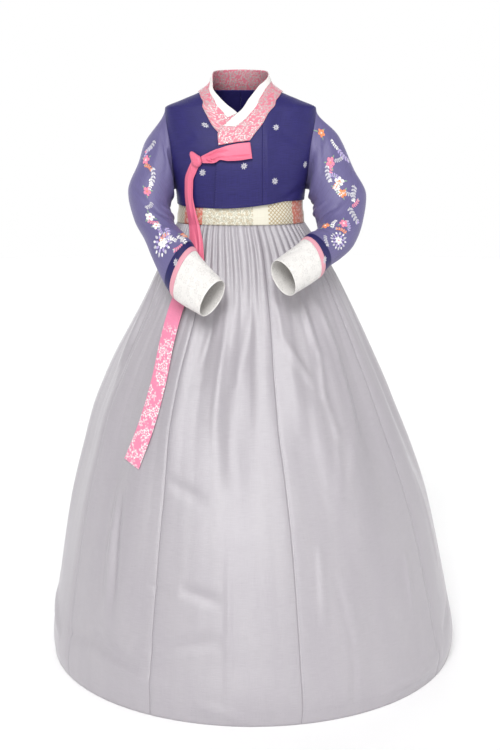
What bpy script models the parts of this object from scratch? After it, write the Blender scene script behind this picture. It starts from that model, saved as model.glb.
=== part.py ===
"""Korean hanbok: a short jacket (jeogori) and a full pleated skirt (chima), worn form, hollow.

Metres, +Z up. The origin is midway between the two shoulder points, where the wearer carries it.
+X is the wearer's left, -Y is the front, and the hem lies at FLOOR. Every piece is a thin wall
between an outer grid of points and the same grid moved in along the surface's own normal.
"""
import bpy
import numpy as np

SHARP_ANGLE = np.radians(50.0)
NEIGHBOUR_STEP = 0.001

# Cloth and seams
WALL = 0.0015
EDGE_THINNER = 0.0004
BAND_WALL = 0.0022
RIBBON_WALL = 0.0011
SEAM = 0.0003

# Jacket body: heights of its landmarks above the shoulder line
ARMPIT = -0.200
SHOULDER = 0.0
NECK_TOP = 0.045
HEM_LEVEL = -0.236
SQUARENESS = 0.87
ARMHOLE_BOW = np.radians(24.0)
ARMHOLE_BOW_POWER = 0.7
SEOP_SEAM_X = 0.053
COLLAR_OVERLAP = 0.018
FRONT_COLUMNS = 9
WIDE_FRONT_COLUMNS = 11
SHOULDER_STEPS = 4
LAPPED_EDGE_X = -0.063
LAPPED_EDGE_LEAN = 0.008
SEOP_COLUMNS = 7
SEOP_ROWS = 10
SEOP_TOP_SHARES = (0.0, 0.70, 1.0)
SEOP_TOP_HEIGHTS = (-0.078, -0.062, -0.024)
HIDDEN_LAP = 0.026
HIDDEN_LAP_START = -0.085
HIDDEN_LAP_RUN = 0.02

# Body sections: height, half width, front depth, back depth
BODY = np.array((
    (-0.300, 0.163, 0.1240, 0.1240),
    (-0.281, 0.161, 0.1216, 0.1216),
    (-0.240, 0.160, 0.1210, 0.1200),
    (-0.200, 0.163, 0.1240, 0.1200),
    (-0.150, 0.176, 0.1270, 0.1190),
    (-0.100, 0.186, 0.1210, 0.1160),
    (-0.050, 0.190, 0.1030, 0.1080),
    (0.000, 0.188, 0.080, 0.092),
    (0.020, 0.146, 0.070, 0.084),
    (0.040, 0.100, 0.062, 0.076),
    (0.060, 0.076, 0.056, 0.069),
    (0.100, 0.062, 0.050, 0.062),
    (0.130, 0.060, 0.048, 0.060),
))

# Jacket hem: angle from centre front towards the wearer's left in degrees, height
JACKET_HEM = np.array((
    (-180.0, -0.236),
    (-90.0, -0.235),
    (-45.0, -0.239),
    (-12.0, -0.240),
    (20.0, -0.231),
    (45.0, -0.224),
    (90.0, -0.226),
    (180.0, -0.236),
))

# Collar across the chest: inner edge x, z, outer edge x, z, from its free end up to the neck
COLLAR_OVER = np.array((
    (-0.052, -0.090, 0.023, -0.079),
    (-0.054, -0.064, 0.038, -0.059),
    (-0.033, -0.039, 0.054, -0.039),
    (-0.005, -0.014, 0.071, -0.010),
    (0.019, 0.018, 0.086, 0.014),
    (0.041, 0.048, 0.097, 0.030),
))
COLLAR_UNDER = np.array((
    (-0.066, 0.050, -0.099, 0.031),
    (-0.050, 0.024, -0.091, 0.010),
    (-0.029, 0.004, -0.085, -0.012),
    (-0.006, -0.014, -0.068, -0.042),
    (0.012, -0.036, -0.046, -0.066),
))

# Collar round the neck: angle in degrees, inner edge height, outer edge height
COLLAR_NECK = np.array((
    (78.0, 0.079, 0.0375),
    (100.0, 0.088, 0.0375),
    (126.0, 0.092, 0.035),
    (153.0, 0.094, 0.032),
    (180.0, 0.095, 0.030),
    (207.0, 0.094, 0.032),
    (234.0, 0.092, 0.035),
    (260.0, 0.088, 0.0375),
    (282.0, 0.079, 0.0375),
))
COLLAR_SHARES = (0.0, 0.18, 0.36, 0.57, 0.78, 1.0)
COLLAR_ROW_STEP = 0.5
DONGJEONG_COLUMNS = 3
DONGJEONG_START = 2.0
COLLAR_CLEAR = 0.0020
LAP_CLEAR = 0.0012
OVERLAP_LIFT = COLLAR_CLEAR + WALL + LAP_CLEAR
LIFT_FROM_X = 0.105
LIFT_RUN_X = 0.05
LIFT_RUN_Z = 0.06

# Sleeves: inner edge x, y, z, outer edge x, y, z, half depth, one row for each section
SLEEVE_LEFT = np.array((
    (0.175, -0.018, -0.216, 0.243, -0.010, -0.066, 0.060),
    (0.179, -0.040, -0.242, 0.283, -0.022, -0.150, 0.058),
    (0.185, -0.065, -0.263, 0.314, -0.036, -0.217, 0.055),
    (0.191, -0.100, -0.287, 0.303, -0.070, -0.279, 0.051),
    (0.182, -0.135, -0.293, 0.277, -0.115, -0.332, 0.046),
    (0.174, -0.155, -0.294, 0.243, -0.148, -0.360, 0.041),
    (0.163, -0.178, -0.296, 0.210, -0.178, -0.378, 0.036),
    (0.151, -0.198, -0.307, 0.184, -0.204, -0.402, 0.034),
    (0.081, -0.270, -0.350, 0.122, -0.276, -0.431, 0.034),
))
SLEEVE_RIGHT = np.array((
    (-0.176, -0.018, -0.216, -0.236, -0.010, -0.082, 0.063),
    (-0.175, -0.040, -0.243, -0.255, -0.020, -0.133, 0.056),
    (-0.169, -0.064, -0.264, -0.281, -0.035, -0.205, 0.054),
    (-0.158, -0.092, -0.286, -0.265, -0.065, -0.270, 0.050),
    (-0.141, -0.125, -0.296, -0.233, -0.105, -0.323, 0.046),
    (-0.129, -0.152, -0.304, -0.208, -0.146, -0.370, 0.040),
    (-0.118, -0.178, -0.315, -0.176, -0.190, -0.424, 0.035),
    (-0.106, -0.198, -0.335, -0.154, -0.214, -0.451, 0.033),
    (-0.040, -0.268, -0.398, -0.090, -0.280, -0.479, 0.032),
))
CUFF_SECTIONS = 3
NAVY_SHARE = 0.57
ARMHOLE_STEPS = 11
GUSSET = 0.009
SLEEVE_STEPS = 15

# Sleeve creases: place along the sleeve and around it (0 to 1), spread along and around, height
SLEEVE_CREASES = np.array((
    (0.10, 0.36, 0.045, 0.13, -0.0045),
    (0.22, 0.44, 0.040, 0.15, 0.0040),
    (0.34, 0.50, 0.035, 0.16, -0.0050),
    (0.46, 0.46, 0.040, 0.18, 0.0045),
    (0.58, 0.42, 0.035, 0.16, -0.0045),
    (0.74, 0.30, 0.050, 0.12, 0.0030),
    (0.24, 0.72, 0.050, 0.13, -0.0040),
    (0.44, 0.66, 0.045, 0.12, -0.0040),
))

# Skirt band: height, how far it lies inside the jacket's outer face
BAND = np.array((
    (-0.281, 0.0000),
    (-0.262, 0.0003),
    (-0.244, 0.0031),
    (-0.206, 0.0035),
))
BAND_STEPS = 64
HANDOVER = 0.030

# Skirt sections: height, centre x, half width, depth as a share of the half width
FLOOR = -1.400
SKIRT = np.array((
    (-0.2813, 0.000, 0.1610, 0.755),
    (-0.3000, 0.002, 0.1720, 0.755),
    (-0.3300, 0.006, 0.1880, 0.758),
    (-0.3700, 0.010, 0.2090, 0.764),
    (-0.4200, 0.013, 0.2330, 0.772),
    (-0.4800, 0.014, 0.2610, 0.785),
    (-0.5500, 0.012, 0.2950, 0.805),
    (-0.6300, 0.009, 0.3330, 0.835),
    (-0.7300, 0.009, 0.3750, 0.880),
    (-0.8500, 0.016, 0.4170, 0.920),
    (-0.9800, 0.022, 0.4580, 0.950),
    (-1.1100, 0.026, 0.4890, 0.975),
    (-1.2500, 0.029, 0.5180, 0.990),
    (-1.3600, 0.032, 0.5340, 1.000),
    (-1.4000, 0.030, 0.5290, 1.000),
))
SKIRT_SEAMS = np.radians((-108.0, -60.5, -27.3, 12.3, 60.5, 108.0, 156.0, 204.0, 252.0))
PLEATS_A_PANEL = 8
SQUARE_FADE = 0.20
FOLD_FADE = 0.8
UNEVEN_TURNS = 23
UNEVEN_SHARE = 0.25

# Pleat depth down the skirt: height, depth
PLEAT_DEPTH = np.array((
    (-0.281, 0.0050),
    (-0.340, 0.0075),
    (-0.450, 0.0095),
    (-0.600, 0.0070),
    (-0.800, 0.0040),
    (-1.100, 0.0022),
    (-1.400, 0.0016),
))

# Skirt folds: top angle, top height, low angle, low height, half width, rise (minus is a trough)
SKIRT_FOLDS = np.array((
    (-15.8, -0.42, -19.0, -0.66, 0.030, -0.011),
    (-9.0, -0.40, -11.0, -0.80, 0.034, 0.009),
    (2.2, -0.42, -3.8, -0.98, 0.032, -0.013),
    (6.0, -0.44, 7.5, -0.74, 0.028, 0.008),
    (19.0, -0.40, 21.0, -0.78, 0.030, 0.011),
    (24.5, -0.42, 27.5, -0.70, 0.026, -0.009),
    (31.0, -0.40, 28.0, -0.98, 0.034, 0.011),
    (36.0, -0.40, 31.0, -0.92, 0.028, -0.009),
    (42.0, -0.46, 33.0, -1.10, 0.052, 0.013),
    (52.0, -0.42, 50.0, -1.02, 0.044, -0.010),
    (-24.0, -0.40, -27.0, -0.90, 0.036, 0.008),
    (-39.0, -0.62, -38.0, -1.33, 0.050, 0.008),
    (-46.0, -0.40, -50.0, -1.05, 0.044, -0.009),
    (-60.0, -0.42, -62.0, -1.25, 0.050, 0.010),
    (27.0, -1.00, 26.0, -1.38, 0.045, 0.007),
    (66.0, -0.40, 70.0, -1.20, 0.050, 0.011),
    (80.0, -0.42, 82.0, -0.95, 0.040, -0.012),
    (92.0, -0.40, 94.0, -1.25, 0.050, 0.010),
    (108.0, -0.44, 112.0, -1.00, 0.046, -0.012),
    (124.0, -0.40, 122.0, -1.30, 0.056, 0.012),
    (136.0, -0.42, 139.0, -0.90, 0.042, -0.011),
    (152.0, -0.40, 156.0, -1.15, 0.052, 0.011),
    (166.0, -0.42, 165.0, -1.02, 0.044, -0.012),
    (182.0, -0.40, 178.0, -1.28, 0.056, 0.012),
    (198.0, -0.44, 202.0, -0.92, 0.042, -0.010),
    (212.0, -0.40, 209.0, -1.22, 0.052, 0.011),
    (226.0, -0.42, 229.0, -1.00, 0.044, -0.012),
    (-118.0, -0.40, -113.0, -1.26, 0.054, 0.011),
    (-100.0, -0.42, -103.0, -0.96, 0.044, -0.011),
    (-86.0, -0.40, -83.0, -1.18, 0.048, 0.010),
))

# Ribbon tie: centre x, z, width, lift off the body, from the knot to the low end
TAIL_LONG = np.array((
    (-0.110, -0.128, 0.017, 0.0020),
    (-0.118, -0.146, 0.019, 0.0022),
    (-0.1275, -0.172, 0.018, 0.0032),
    (-0.1285, -0.205, 0.018, 0.0048),
    (-0.1240, -0.246, 0.019, 0.0075),
    (-0.1160, -0.290, 0.022, 0.0085),
    (-0.1130, -0.330, 0.026, 0.0075),
    (-0.1180, -0.375, 0.030, 0.0065),
    (-0.136, -0.425, 0.034, 0.0065),
    (-0.158, -0.480, 0.035, 0.0065),
    (-0.180, -0.560, 0.036, 0.0065),
    (-0.196, -0.640, 0.037, 0.0065),
    (-0.224, -0.740, 0.039, 0.0065),
    (-0.262, -0.838, 0.041, 0.0070),
))
TAIL_SHORT = np.array((
    (-0.106, -0.130, 0.015, 0.0037),
    (-0.114, -0.148, 0.016, 0.0043),
    (-0.1235, -0.174, 0.016, 0.0062),
    (-0.1245, -0.207, 0.016, 0.0090),
    (-0.1190, -0.248, 0.018, 0.0120),
    (-0.1100, -0.291, 0.023, 0.0130),
    (-0.1045, -0.330, 0.028, 0.0130),
    (-0.1040, -0.372, 0.033, 0.0130),
))

# Ribbon loop, front layer from the knot to its fold: centre x, z, width, lift
LOOP = np.array((
    (-0.0932, -0.1223, 0.0160, 0.0106),
    (-0.0790, -0.1190, 0.0230, 0.0116),
    (-0.0659, -0.1156, 0.0285, 0.0124),
    (-0.0538, -0.1095, 0.0265, 0.0130),
    (-0.0300, -0.1066, 0.0360, 0.0140),
    (-0.0006, -0.1030, 0.0400, 0.0144),
    (0.0225, -0.1000, 0.0385, 0.0140),
))
LOOP_BACK_LIFT = 0.0040
LOOP_FOLD_REACH = 0.004
LOOP_STEPS = 10
TAIL_LONG_STEPS = 44
TAIL_SHORT_STEPS = 16
RIBBON_SHARES = (-0.5, 0.0, 0.5)

# Knot of the tie
KNOT_X = -0.106
KNOT_Z = -0.126
KNOT_HALF_LENGTH = 0.0135
KNOT_HALF_HEIGHT = 0.0150
KNOT_DEPTH = 0.0100
KNOT_LIFT = 0.0045
KNOT_SIDES = 12
KNOT_RINGS = (2.0, 22.0, 45.0, 66.0, 84.0)
KNOT_ROUNDNESS = 0.7
KNOT_EAR = 0.85
KNOT_EAR_TURN = np.radians(128.0)
KNOT_EAR_SPREAD = np.radians(26.0)

# Colours, roughness
INDIGO = ((0.046, 0.040, 0.191), 0.62)
SLEEVE_PURPLE = ((0.155, 0.140, 0.330), 0.60)
NAVY = ((0.020, 0.018, 0.110), 0.62)
WHITE = ((0.880, 0.870, 0.850), 0.45)
PINK = ((0.830, 0.230, 0.340), 0.48)
PALE_PINK = ((0.800, 0.400, 0.460), 0.50)
BROCADE = ((0.680, 0.600, 0.440), 0.45)
SILVER_LILAC = ((0.620, 0.590, 0.640), 0.38)


def clear_scene():
    """Removes what the file holds, so the model is the same each time."""
    for thing in list(bpy.data.objects):
        bpy.data.objects.remove(thing, do_unlink=True)


def curve_through(knots, values, at):
    """Smooth curve through rows of values at the knots, read at the places asked for.

    Cubic pieces whose slope at a knot is the harmonic mean of its two neighbours' slopes, or
    zero where they turn, so the curve never swings past the rows.
    """
    knots = np.asarray(knots, dtype=float)
    values = np.asarray(values, dtype=float)
    rows = values.reshape(len(knots), -1)
    step = np.diff(knots)[:, None]
    slope = np.diff(rows, axis=0) / step
    product = slope[:-1] * slope[1:]
    total = np.where(product > 0, slope[:-1] + slope[1:], 1.0)
    middle = np.where(product > 0, 2.0 * product / total, 0.0)
    tangent = np.vstack((slope[:1], middle, slope[-1:]))
    place = np.clip(np.asarray(at, dtype=float), knots[0], knots[-1])
    row = np.clip(np.searchsorted(knots, place, side="right") - 1, 0, len(knots) - 2)
    width = step[row]
    part = (place - knots[row])[..., None] / width
    start = (1 + 2 * part) * (1 - part) ** 2 * rows[row] + part * (1 - part) ** 2 * width * tangent[row]
    end = part ** 2 * (3 - 2 * part) * rows[row + 1] - part ** 2 * (1 - part) * width * tangent[row + 1]
    return (start + end).reshape(place.shape + values.shape[1:])


def soft_step(value):
    """0 below 0, 1 above 1, and an S curve between."""
    part = np.clip(value, 0.0, 1.0)
    return part * part * (3 - 2 * part)


def moved_out(surface, across, along, lift):
    """Points of a surface moved along its outward normal, found from points close by."""
    near = NEIGHBOUR_STEP
    side = surface(across + near, along) - surface(across - near, along)
    up = surface(across, along + near) - surface(across, along - near)
    normal = np.cross(side, up)
    normal /= np.linalg.norm(normal, axis=-1, keepdims=True)
    return surface(across, along) + normal * np.asarray(lift)[..., None]


def body_point(angle, height):
    """Point of the jacket's body: an oval section at each height, a little squared."""
    angle, height = np.broadcast_arrays(angle, height)
    half_width, front, back = np.moveaxis(curve_through(BODY[:, 0], BODY[:, 1:], height), -1, 0)
    across = np.sin(angle)
    along = np.cos(angle)
    depth = np.where(along > 0, front, back)
    x = half_width * np.sign(across) * np.abs(across) ** SQUARENESS
    y = -depth * np.sign(along) * np.abs(along) ** SQUARENESS
    return np.stack((x, y, height), axis=-1)


def body_angle(x, height):
    """Angle at which the body's front has this x at this height."""
    half_width = curve_through(BODY[:, 0], BODY[:, 1], height)
    share = np.clip(np.abs(x) / half_width, 0.0, 1.0)
    return np.sign(x) * np.arcsin(share ** (1 / SQUARENESS))


def front_lift(x, height):
    """How far the wearer's left front stands out where it laps over the right one."""
    towards_lap = soft_step((LIFT_FROM_X - x) / LIFT_RUN_X)
    below_neck = soft_step((NECK_TOP - height) / LIFT_RUN_Z)
    return OVERLAP_LIFT * towards_lap * below_neck


def armhole_angle(height):
    """Angle of the armhole's edge: at the side at armpit and shoulder, bowed inwards between."""
    part = np.clip((height - ARMPIT) / (SHOULDER - ARMPIT), 0.0, 1.0)
    return np.pi / 2 - ARMHOLE_BOW * np.sin(np.pi * part) ** ARMHOLE_BOW_POWER


def add_object(name, points, faces, finish):
    """Makes one mesh object with its own material."""
    mesh = bpy.data.meshes.new(name)
    mesh.from_pydata(points.tolist(), [], faces.tolist())
    mesh.shade_smooth()
    mesh.set_sharp_from_angle(angle=SHARP_ANGLE)
    colour, roughness = finish
    material = bpy.data.materials.new(name)
    material.use_nodes = True
    shader = material.node_tree.nodes["Principled BSDF"]
    shader.inputs["Base Color"].default_value = (*colour, 1.0)
    shader.inputs["Roughness"].default_value = roughness
    shader.inputs["Metallic"].default_value = 0.0
    material.diffuse_color = (*colour, 1.0)
    mesh.materials.append(material)
    thing = bpy.data.objects.new(name, mesh)
    bpy.context.collection.objects.link(thing)


def triangles(first, second, third, fourth):
    """Two triangles for each four-sided face."""
    quads = np.stack((first, second, third, fourth), axis=-1).reshape(-1, 4)
    return np.vstack((quads[:, (0, 1, 2)], quads[:, (0, 2, 3)]))


def add_wall(name, outer, inner, finish, tube=False):
    """One closed body between two grids of rows and columns; a tube joins last column to first."""
    rows, columns = outer.shape[:2]
    points = np.concatenate((outer.reshape(-1, 3), inner.reshape(-1, 3)))
    out = np.arange(rows * columns).reshape(rows, columns)
    if tube:
        out = np.hstack((out, out[:, :1]))
    into = out + rows * columns
    faces = [
        triangles(out[:-1, :-1], out[:-1, 1:], out[1:, 1:], out[1:, :-1]),
        triangles(into[:-1, :-1], into[1:, :-1], into[1:, 1:], into[:-1, 1:]),
        triangles(out[0, 1:], out[0, :-1], into[0, :-1], into[0, 1:]),
        triangles(out[-1, :-1], out[-1, 1:], into[-1, 1:], into[-1, :-1]),
    ]
    if not tube:
        faces.append(triangles(out[:-1, 0], out[1:, 0], into[1:, 0], into[:-1, 0]))
        faces.append(triangles(out[1:, -1], out[:-1, -1], into[:-1, -1], into[1:, -1]))
    add_object(name, points, np.vstack(faces), finish)


def add_body_wall(name, angle, height, lift, finish):
    """A panel of the jacket's body, its outer face at the given lift."""
    outer = moved_out(body_point, angle, height, lift)
    inner = moved_out(body_point, angle, height, lift - WALL)
    add_wall(name, outer, inner, finish)


def body_rows():
    """Heights of the rows above the armpit: up the armhole, then up the shoulder seam."""
    armhole = np.linspace(ARMPIT, SHOULDER, ARMHOLE_STEPS)
    shoulder = np.linspace(SHOULDER, NECK_TOP, SHOULDER_STEPS)[1:]
    return np.concatenate((armhole, shoulder))


def outer_limit(height):
    """Angle where a body panel ends at the side: side seam, armhole, then shoulder seam."""
    seam = (SEAM / curve_through(BODY[:, 0], BODY[:, 2], height)) ** (1 / SQUARENESS)
    in_armhole = (height > ARMPIT + 1e-6) & (height < SHOULDER - 1e-6)
    return np.where(in_armhole, armhole_angle(height), np.pi / 2 - seam)


def hem_height(angle):
    """Height of the jacket's hem at this angle."""
    return curve_through(JACKET_HEM[:, 0], JACKET_HEM[:, 1], np.degrees(angle))


def front_grid(side, inner_x, columns):
    """Angles and heights of a front panel, from its inner edge out to the side."""
    heights = np.concatenate(((HEM_LEVEL, (HEM_LEVEL + ARMPIT) / 2), body_rows()))
    inner = body_angle(inner_x(heights), heights)
    outer = side * outer_limit(heights)
    angle = inner[:, None] + (outer - inner)[:, None] * np.linspace(0, 1, columns)
    height = np.repeat(heights[:, None], columns, axis=1)
    height[0] = hem_height(angle[0])
    height[1] = (height[0] + height[2]) / 2
    if side < 0:
        return angle[:, ::-1], height[:, ::-1]
    return angle, height


def left_inner_x(height):
    """Inner edge of the wearer's left front: the seop seam, then under the collar."""
    collar = np.interp(height, COLLAR_OVER[:, 3], COLLAR_OVER[:, 2]) - COLLAR_OVERLAP
    return np.maximum(SEOP_SEAM_X + SEAM / 2, collar)


def right_inner_x(height):
    """Inner edge of the wearer's right front: under its collar, then under the other front."""
    edge = COLLAR_UNDER[::-1]
    collar = np.interp(height, edge[:, 3], edge[:, 2]) + COLLAR_OVERLAP
    return collar + HIDDEN_LAP * soft_step((HIDDEN_LAP_START - height) / HIDDEN_LAP_RUN)


def add_fronts():
    """The wearer's left front, which laps over, and the right front under it."""
    angle, height = front_grid(1, left_inner_x, FRONT_COLUMNS)
    x = body_point(angle, height)[..., 0]
    add_body_wall("jeogori_front_left", angle, height, front_lift(x, height), INDIGO)
    angle, height = front_grid(-1, right_inner_x, WIDE_FRONT_COLUMNS)
    add_body_wall("jeogori_front_right", angle, height, np.zeros(angle.shape), INDIGO)


def add_backs():
    """Two back panels that meet at the centre back seam."""
    heights = np.concatenate(((HEM_LEVEL, (HEM_LEVEL + ARMPIT) / 2), body_rows()))
    centre = np.pi - (SEAM / curve_through(BODY[:, 0], BODY[:, 1], heights)) ** (1 / SQUARENESS)
    edge = np.pi - outer_limit(heights)
    shape = edge[:, None] + (centre - edge)[:, None] * np.linspace(0, 1, FRONT_COLUMNS)
    for side, name in ((1, "jeogori_back_left"), (-1, "jeogori_back_right")):
        angle = side * shape
        height = np.repeat(heights[:, None], FRONT_COLUMNS, axis=1)
        height[0] = hem_height(angle[0])
        height[1] = (height[0] + height[2]) / 2
        if side < 0:
            angle, height = angle[:, ::-1], height[:, ::-1]
        add_body_wall(name, angle, height, np.zeros(angle.shape), INDIGO)


def add_seop():
    """Overlap panel: from the seop seam to the lapped edge, its top under the collar."""
    share = np.linspace(0, 1, SEOP_COLUMNS)
    top = np.interp(share, SEOP_TOP_SHARES, SEOP_TOP_HEIGHTS)
    up = np.linspace(0, 1, SEOP_ROWS)[:, None]
    edge = LAPPED_EDGE_X + LAPPED_EDGE_LEAN * up
    x = edge + (SEOP_SEAM_X - SEAM / 2 - edge) * share
    hem = hem_height(body_angle(x[0], HEM_LEVEL))
    height = hem + (top - hem) * up
    angle = body_angle(x, height)
    add_body_wall("jeogori_seop", angle, height, front_lift(x, height), INDIGO)


def collar_stations():
    """Collar's course: free end, round the neck, then the end that goes under.

    Each row has the angle and height of its inner edge, those of its outer edge, and whether it
    lies on the lapped front.
    """
    def chest(table):
        inner = (body_angle(table[:, 0], table[:, 1]), table[:, 1])
        outer = (body_angle(table[:, 2], table[:, 3]), table[:, 3])
        return np.stack((*inner, *outer), axis=1)

    neck = np.radians(COLLAR_NECK[:, :1])
    around = np.hstack((neck, COLLAR_NECK[:, 1:2], neck, COLLAR_NECK[:, 2:]))
    under = chest(COLLAR_UNDER)
    under[:, (0, 2)] += 2 * np.pi
    stations = np.vstack((chest(COLLAR_OVER), around, under))
    on_top = (np.arange(len(stations)) < len(COLLAR_OVER)).astype(float)
    return np.column_stack((stations, on_top))


def collar_grid(shares, start, finish):
    """Angles, heights and lifts of the collar between two places on its course."""
    stations = collar_stations()
    last = len(stations) - 1
    places = np.arange(start, last - finish + COLLAR_ROW_STEP / 2, COLLAR_ROW_STEP)
    rows = curve_through(np.arange(last + 1), stations, places)
    share = np.asarray(shares)
    angle = rows[:, :1] + (rows[:, 2:3] - rows[:, :1]) * share
    height = rows[:, 1:2] + (rows[:, 3:4] - rows[:, 1:2]) * share
    x = body_point(angle, height)[..., 0]
    return angle, height, COLLAR_CLEAR + rows[:, 4:] * front_lift(x, height)


def add_collar():
    """Patterned collar band and the white edge that lies on its inner part."""
    angle, height, lift = collar_grid(COLLAR_SHARES, 0.0, 0.0)
    outer = moved_out(body_point, angle, height, lift + WALL)
    inner = moved_out(body_point, angle, height, lift)
    add_wall("git_collar", outer, inner, PALE_PINK)
    shares = COLLAR_SHARES[:DONGJEONG_COLUMNS]
    angle, height, lift = collar_grid(shares, DONGJEONG_START, 1.0)
    outer = moved_out(body_point, angle, height, lift + 2 * WALL + SEAM - EDGE_THINNER)
    inner = moved_out(body_point, angle, height, lift + WALL + SEAM)
    add_wall("dongjeong", outer, inner, WHITE)


def armhole_ring(side, lift):
    """Points of the armhole's edge: shoulder, down the front to the armpit, up the back."""
    down = np.linspace(SHOULDER, ARMPIT, ARMHOLE_STEPS)
    front = armhole_angle(down)
    angle = np.concatenate((front, np.pi - front[-2:0:-1]))
    height = np.concatenate((down, down[-2:0:-1]))
    return moved_out(body_point, side * angle, height, np.full(len(angle), lift))


def sleeve_start(side):
    """First two rings of a sleeve, outer points, and the first ring's inner points.

    At the shoulder the sleeve goes on where the body's surface ends. At the armpit it turns to
    stand square off the side, which leaves the tight fold of a worn sleeve under the arm.
    """
    edge = armhole_ring(side, 0.0)
    normal = edge - armhole_ring(side, -WALL)
    normal /= np.linalg.norm(normal, axis=1, keepdims=True)
    along = np.roll(edge, -1, axis=0) - np.roll(edge, 1, axis=0)
    beyond = np.cross(normal, along) * side
    beyond /= np.linalg.norm(beyond, axis=1, keepdims=True)
    count = len(edge)
    from_top = np.abs((np.arange(count) + count / 2) % count - count / 2) / (count / 2)
    turn = np.pi / 2 * np.sin(np.pi / 2 * from_top)[:, None]
    course = np.cos(turn) * beyond + np.sin(turn) * normal
    inwards = np.sin(turn) * beyond - np.cos(turn) * normal
    first = edge + SEAM * (beyond + normal)
    return first, first + course * GUSSET, first + inwards * WALL


def sleeve_rings(side, table):
    """Oval sections of a sleeve from its table, each from the outer edge round the front."""
    inner = table[:, :3]
    outer = table[:, 3:6]
    centre = (inner + outer) / 2
    path = np.gradient(centre, axis=0)
    half = (outer - inner) / 2
    front = np.cross(path, half) * side
    front *= table[:, 6:] / np.linalg.norm(front, axis=1, keepdims=True)
    turn = np.linspace(0, 2 * np.pi, 2 * (ARMHOLE_STEPS - 1), endpoint=False)
    round_cos = np.cos(turn)[None, :, None]
    round_sin = np.sin(turn)[None, :, None]
    return centre[:, None] + half[:, None] * round_cos + front[:, None] * round_sin


def sleeve_grid(side, table):
    """Rows of points down a sleeve, from the armhole to the cuff's open end."""
    start, gusset, _ = sleeve_start(side)
    rings = np.concatenate((start[None], gusset[None], sleeve_rings(side, table)))
    centre = rings.mean(axis=1)
    reach = np.concatenate(((0,), np.cumsum(np.linalg.norm(np.diff(centre, axis=0), axis=1))))
    navy, white, end = reach[-3], reach[-2], reach[-1]
    pink = navy + NAVY_SHARE * (white - navy)
    places = np.concatenate((
        (0.0,),
        np.linspace(reach[1], navy, SLEEVE_STEPS - 1),
        (pink, white),
        np.linspace(white, end, CUFF_SECTIONS + 1)[1:],
    ))
    grid = curve_through(reach, rings, places)
    middle = grid.mean(axis=1, keepdims=True)
    around = np.arange(grid.shape[1]) / grid.shape[1]
    along = (places / navy)[:, None]
    crease = np.zeros(grid.shape[:2])
    for at, turn, spread, round_spread, rise in SLEEVE_CREASES:
        apart = np.abs(around - turn)
        apart = np.minimum(apart, 1 - apart)
        bump = np.exp(-((along - at) / spread) ** 2 - (apart / round_spread) ** 2)
        crease = crease + rise * bump
    crease[:2] = 0
    outward = grid - middle
    outward /= np.linalg.norm(outward, axis=-1, keepdims=True)
    return grid + outward * crease[..., None]


def grid_normals(grid, side):
    """Outward normals of a closed ring grid, from each point's neighbours."""
    around = np.roll(grid, -1, axis=1) - np.roll(grid, 1, axis=1)
    along = np.gradient(grid, axis=0)
    normal = np.cross(around, along) * side
    return normal / np.linalg.norm(normal, axis=-1, keepdims=True)


def add_sleeve(side, table, word):
    """Sleeve, dark band, pink piping and white cuff of one side, one node each."""
    grid = sleeve_grid(side, table)
    normal = grid_normals(grid, side)
    inner = grid - normal * WALL
    inner[0] = sleeve_start(side)[2]
    middle = grid.mean(axis=1)
    course = np.gradient(middle, axis=0)
    course /= np.linalg.norm(course, axis=1, keepdims=True)
    last = SLEEVE_STEPS - 1
    parts = (
        ("sleeve_" + word, 0, last, SLEEVE_PURPLE),
        ("sleeve_band_" + word, last, last + 1, NAVY),
        ("sleeve_piping_" + word, last + 1, last + 2, PINK),
        ("cuff_" + word, last + 2, last + 2 + CUFF_SECTIONS, WHITE),
    )
    for name, first, final, finish in parts:
        rows = slice(first, final + 1)
        outer_part = grid[rows].copy()
        inner_part = inner[rows].copy()
        for shell in (outer_part, inner_part):
            if first > 0:
                shell[0] += course[first] * SEAM / 2
            shell[-1] -= course[final] * SEAM / 2
        if side < 0:
            outer_part = outer_part[:, ::-1]
            inner_part = inner_part[:, ::-1]
        add_wall(name, outer_part, inner_part, finish, tube=True)


def skirt_section(height):
    """Centre x, half width and depth share of the skirt at this height."""
    return np.moveaxis(curve_through(-SKIRT[:, 0], SKIRT[:, 1:], -np.asarray(height)), -1, 0)


def skirt_cover(angle, height):
    """Skirt without its pleats: an oval at each height, with the large folds."""
    angle, height = np.broadcast_arrays(angle, height)
    centre, half_width, share = skirt_section(height)
    rise = np.zeros(angle.shape)
    for top, top_z, low, low_z, spread, size in SKIRT_FOLDS:
        part = np.clip((top_z - height) / (top_z - low_z), 0.0, 1.0)
        line = np.radians(top + (low - top) * part)
        apart = (angle - line + np.pi) % (2 * np.pi) - np.pi
        strength = np.sin(np.pi * part) ** FOLD_FADE
        rise = rise + size * strength * np.exp(-(apart * half_width / spread) ** 2)
    power = SQUARENESS + (1 - SQUARENESS) * soft_step((SKIRT[0, 0] - height) / SQUARE_FADE)
    across = np.sign(np.sin(angle)) * np.abs(np.sin(angle)) ** power
    along = np.sign(np.cos(angle)) * np.abs(np.cos(angle)) ** power
    x = centre + (half_width + rise) * across
    y = -(half_width * share + rise) * along
    return np.stack((x, y, height), axis=-1)


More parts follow.
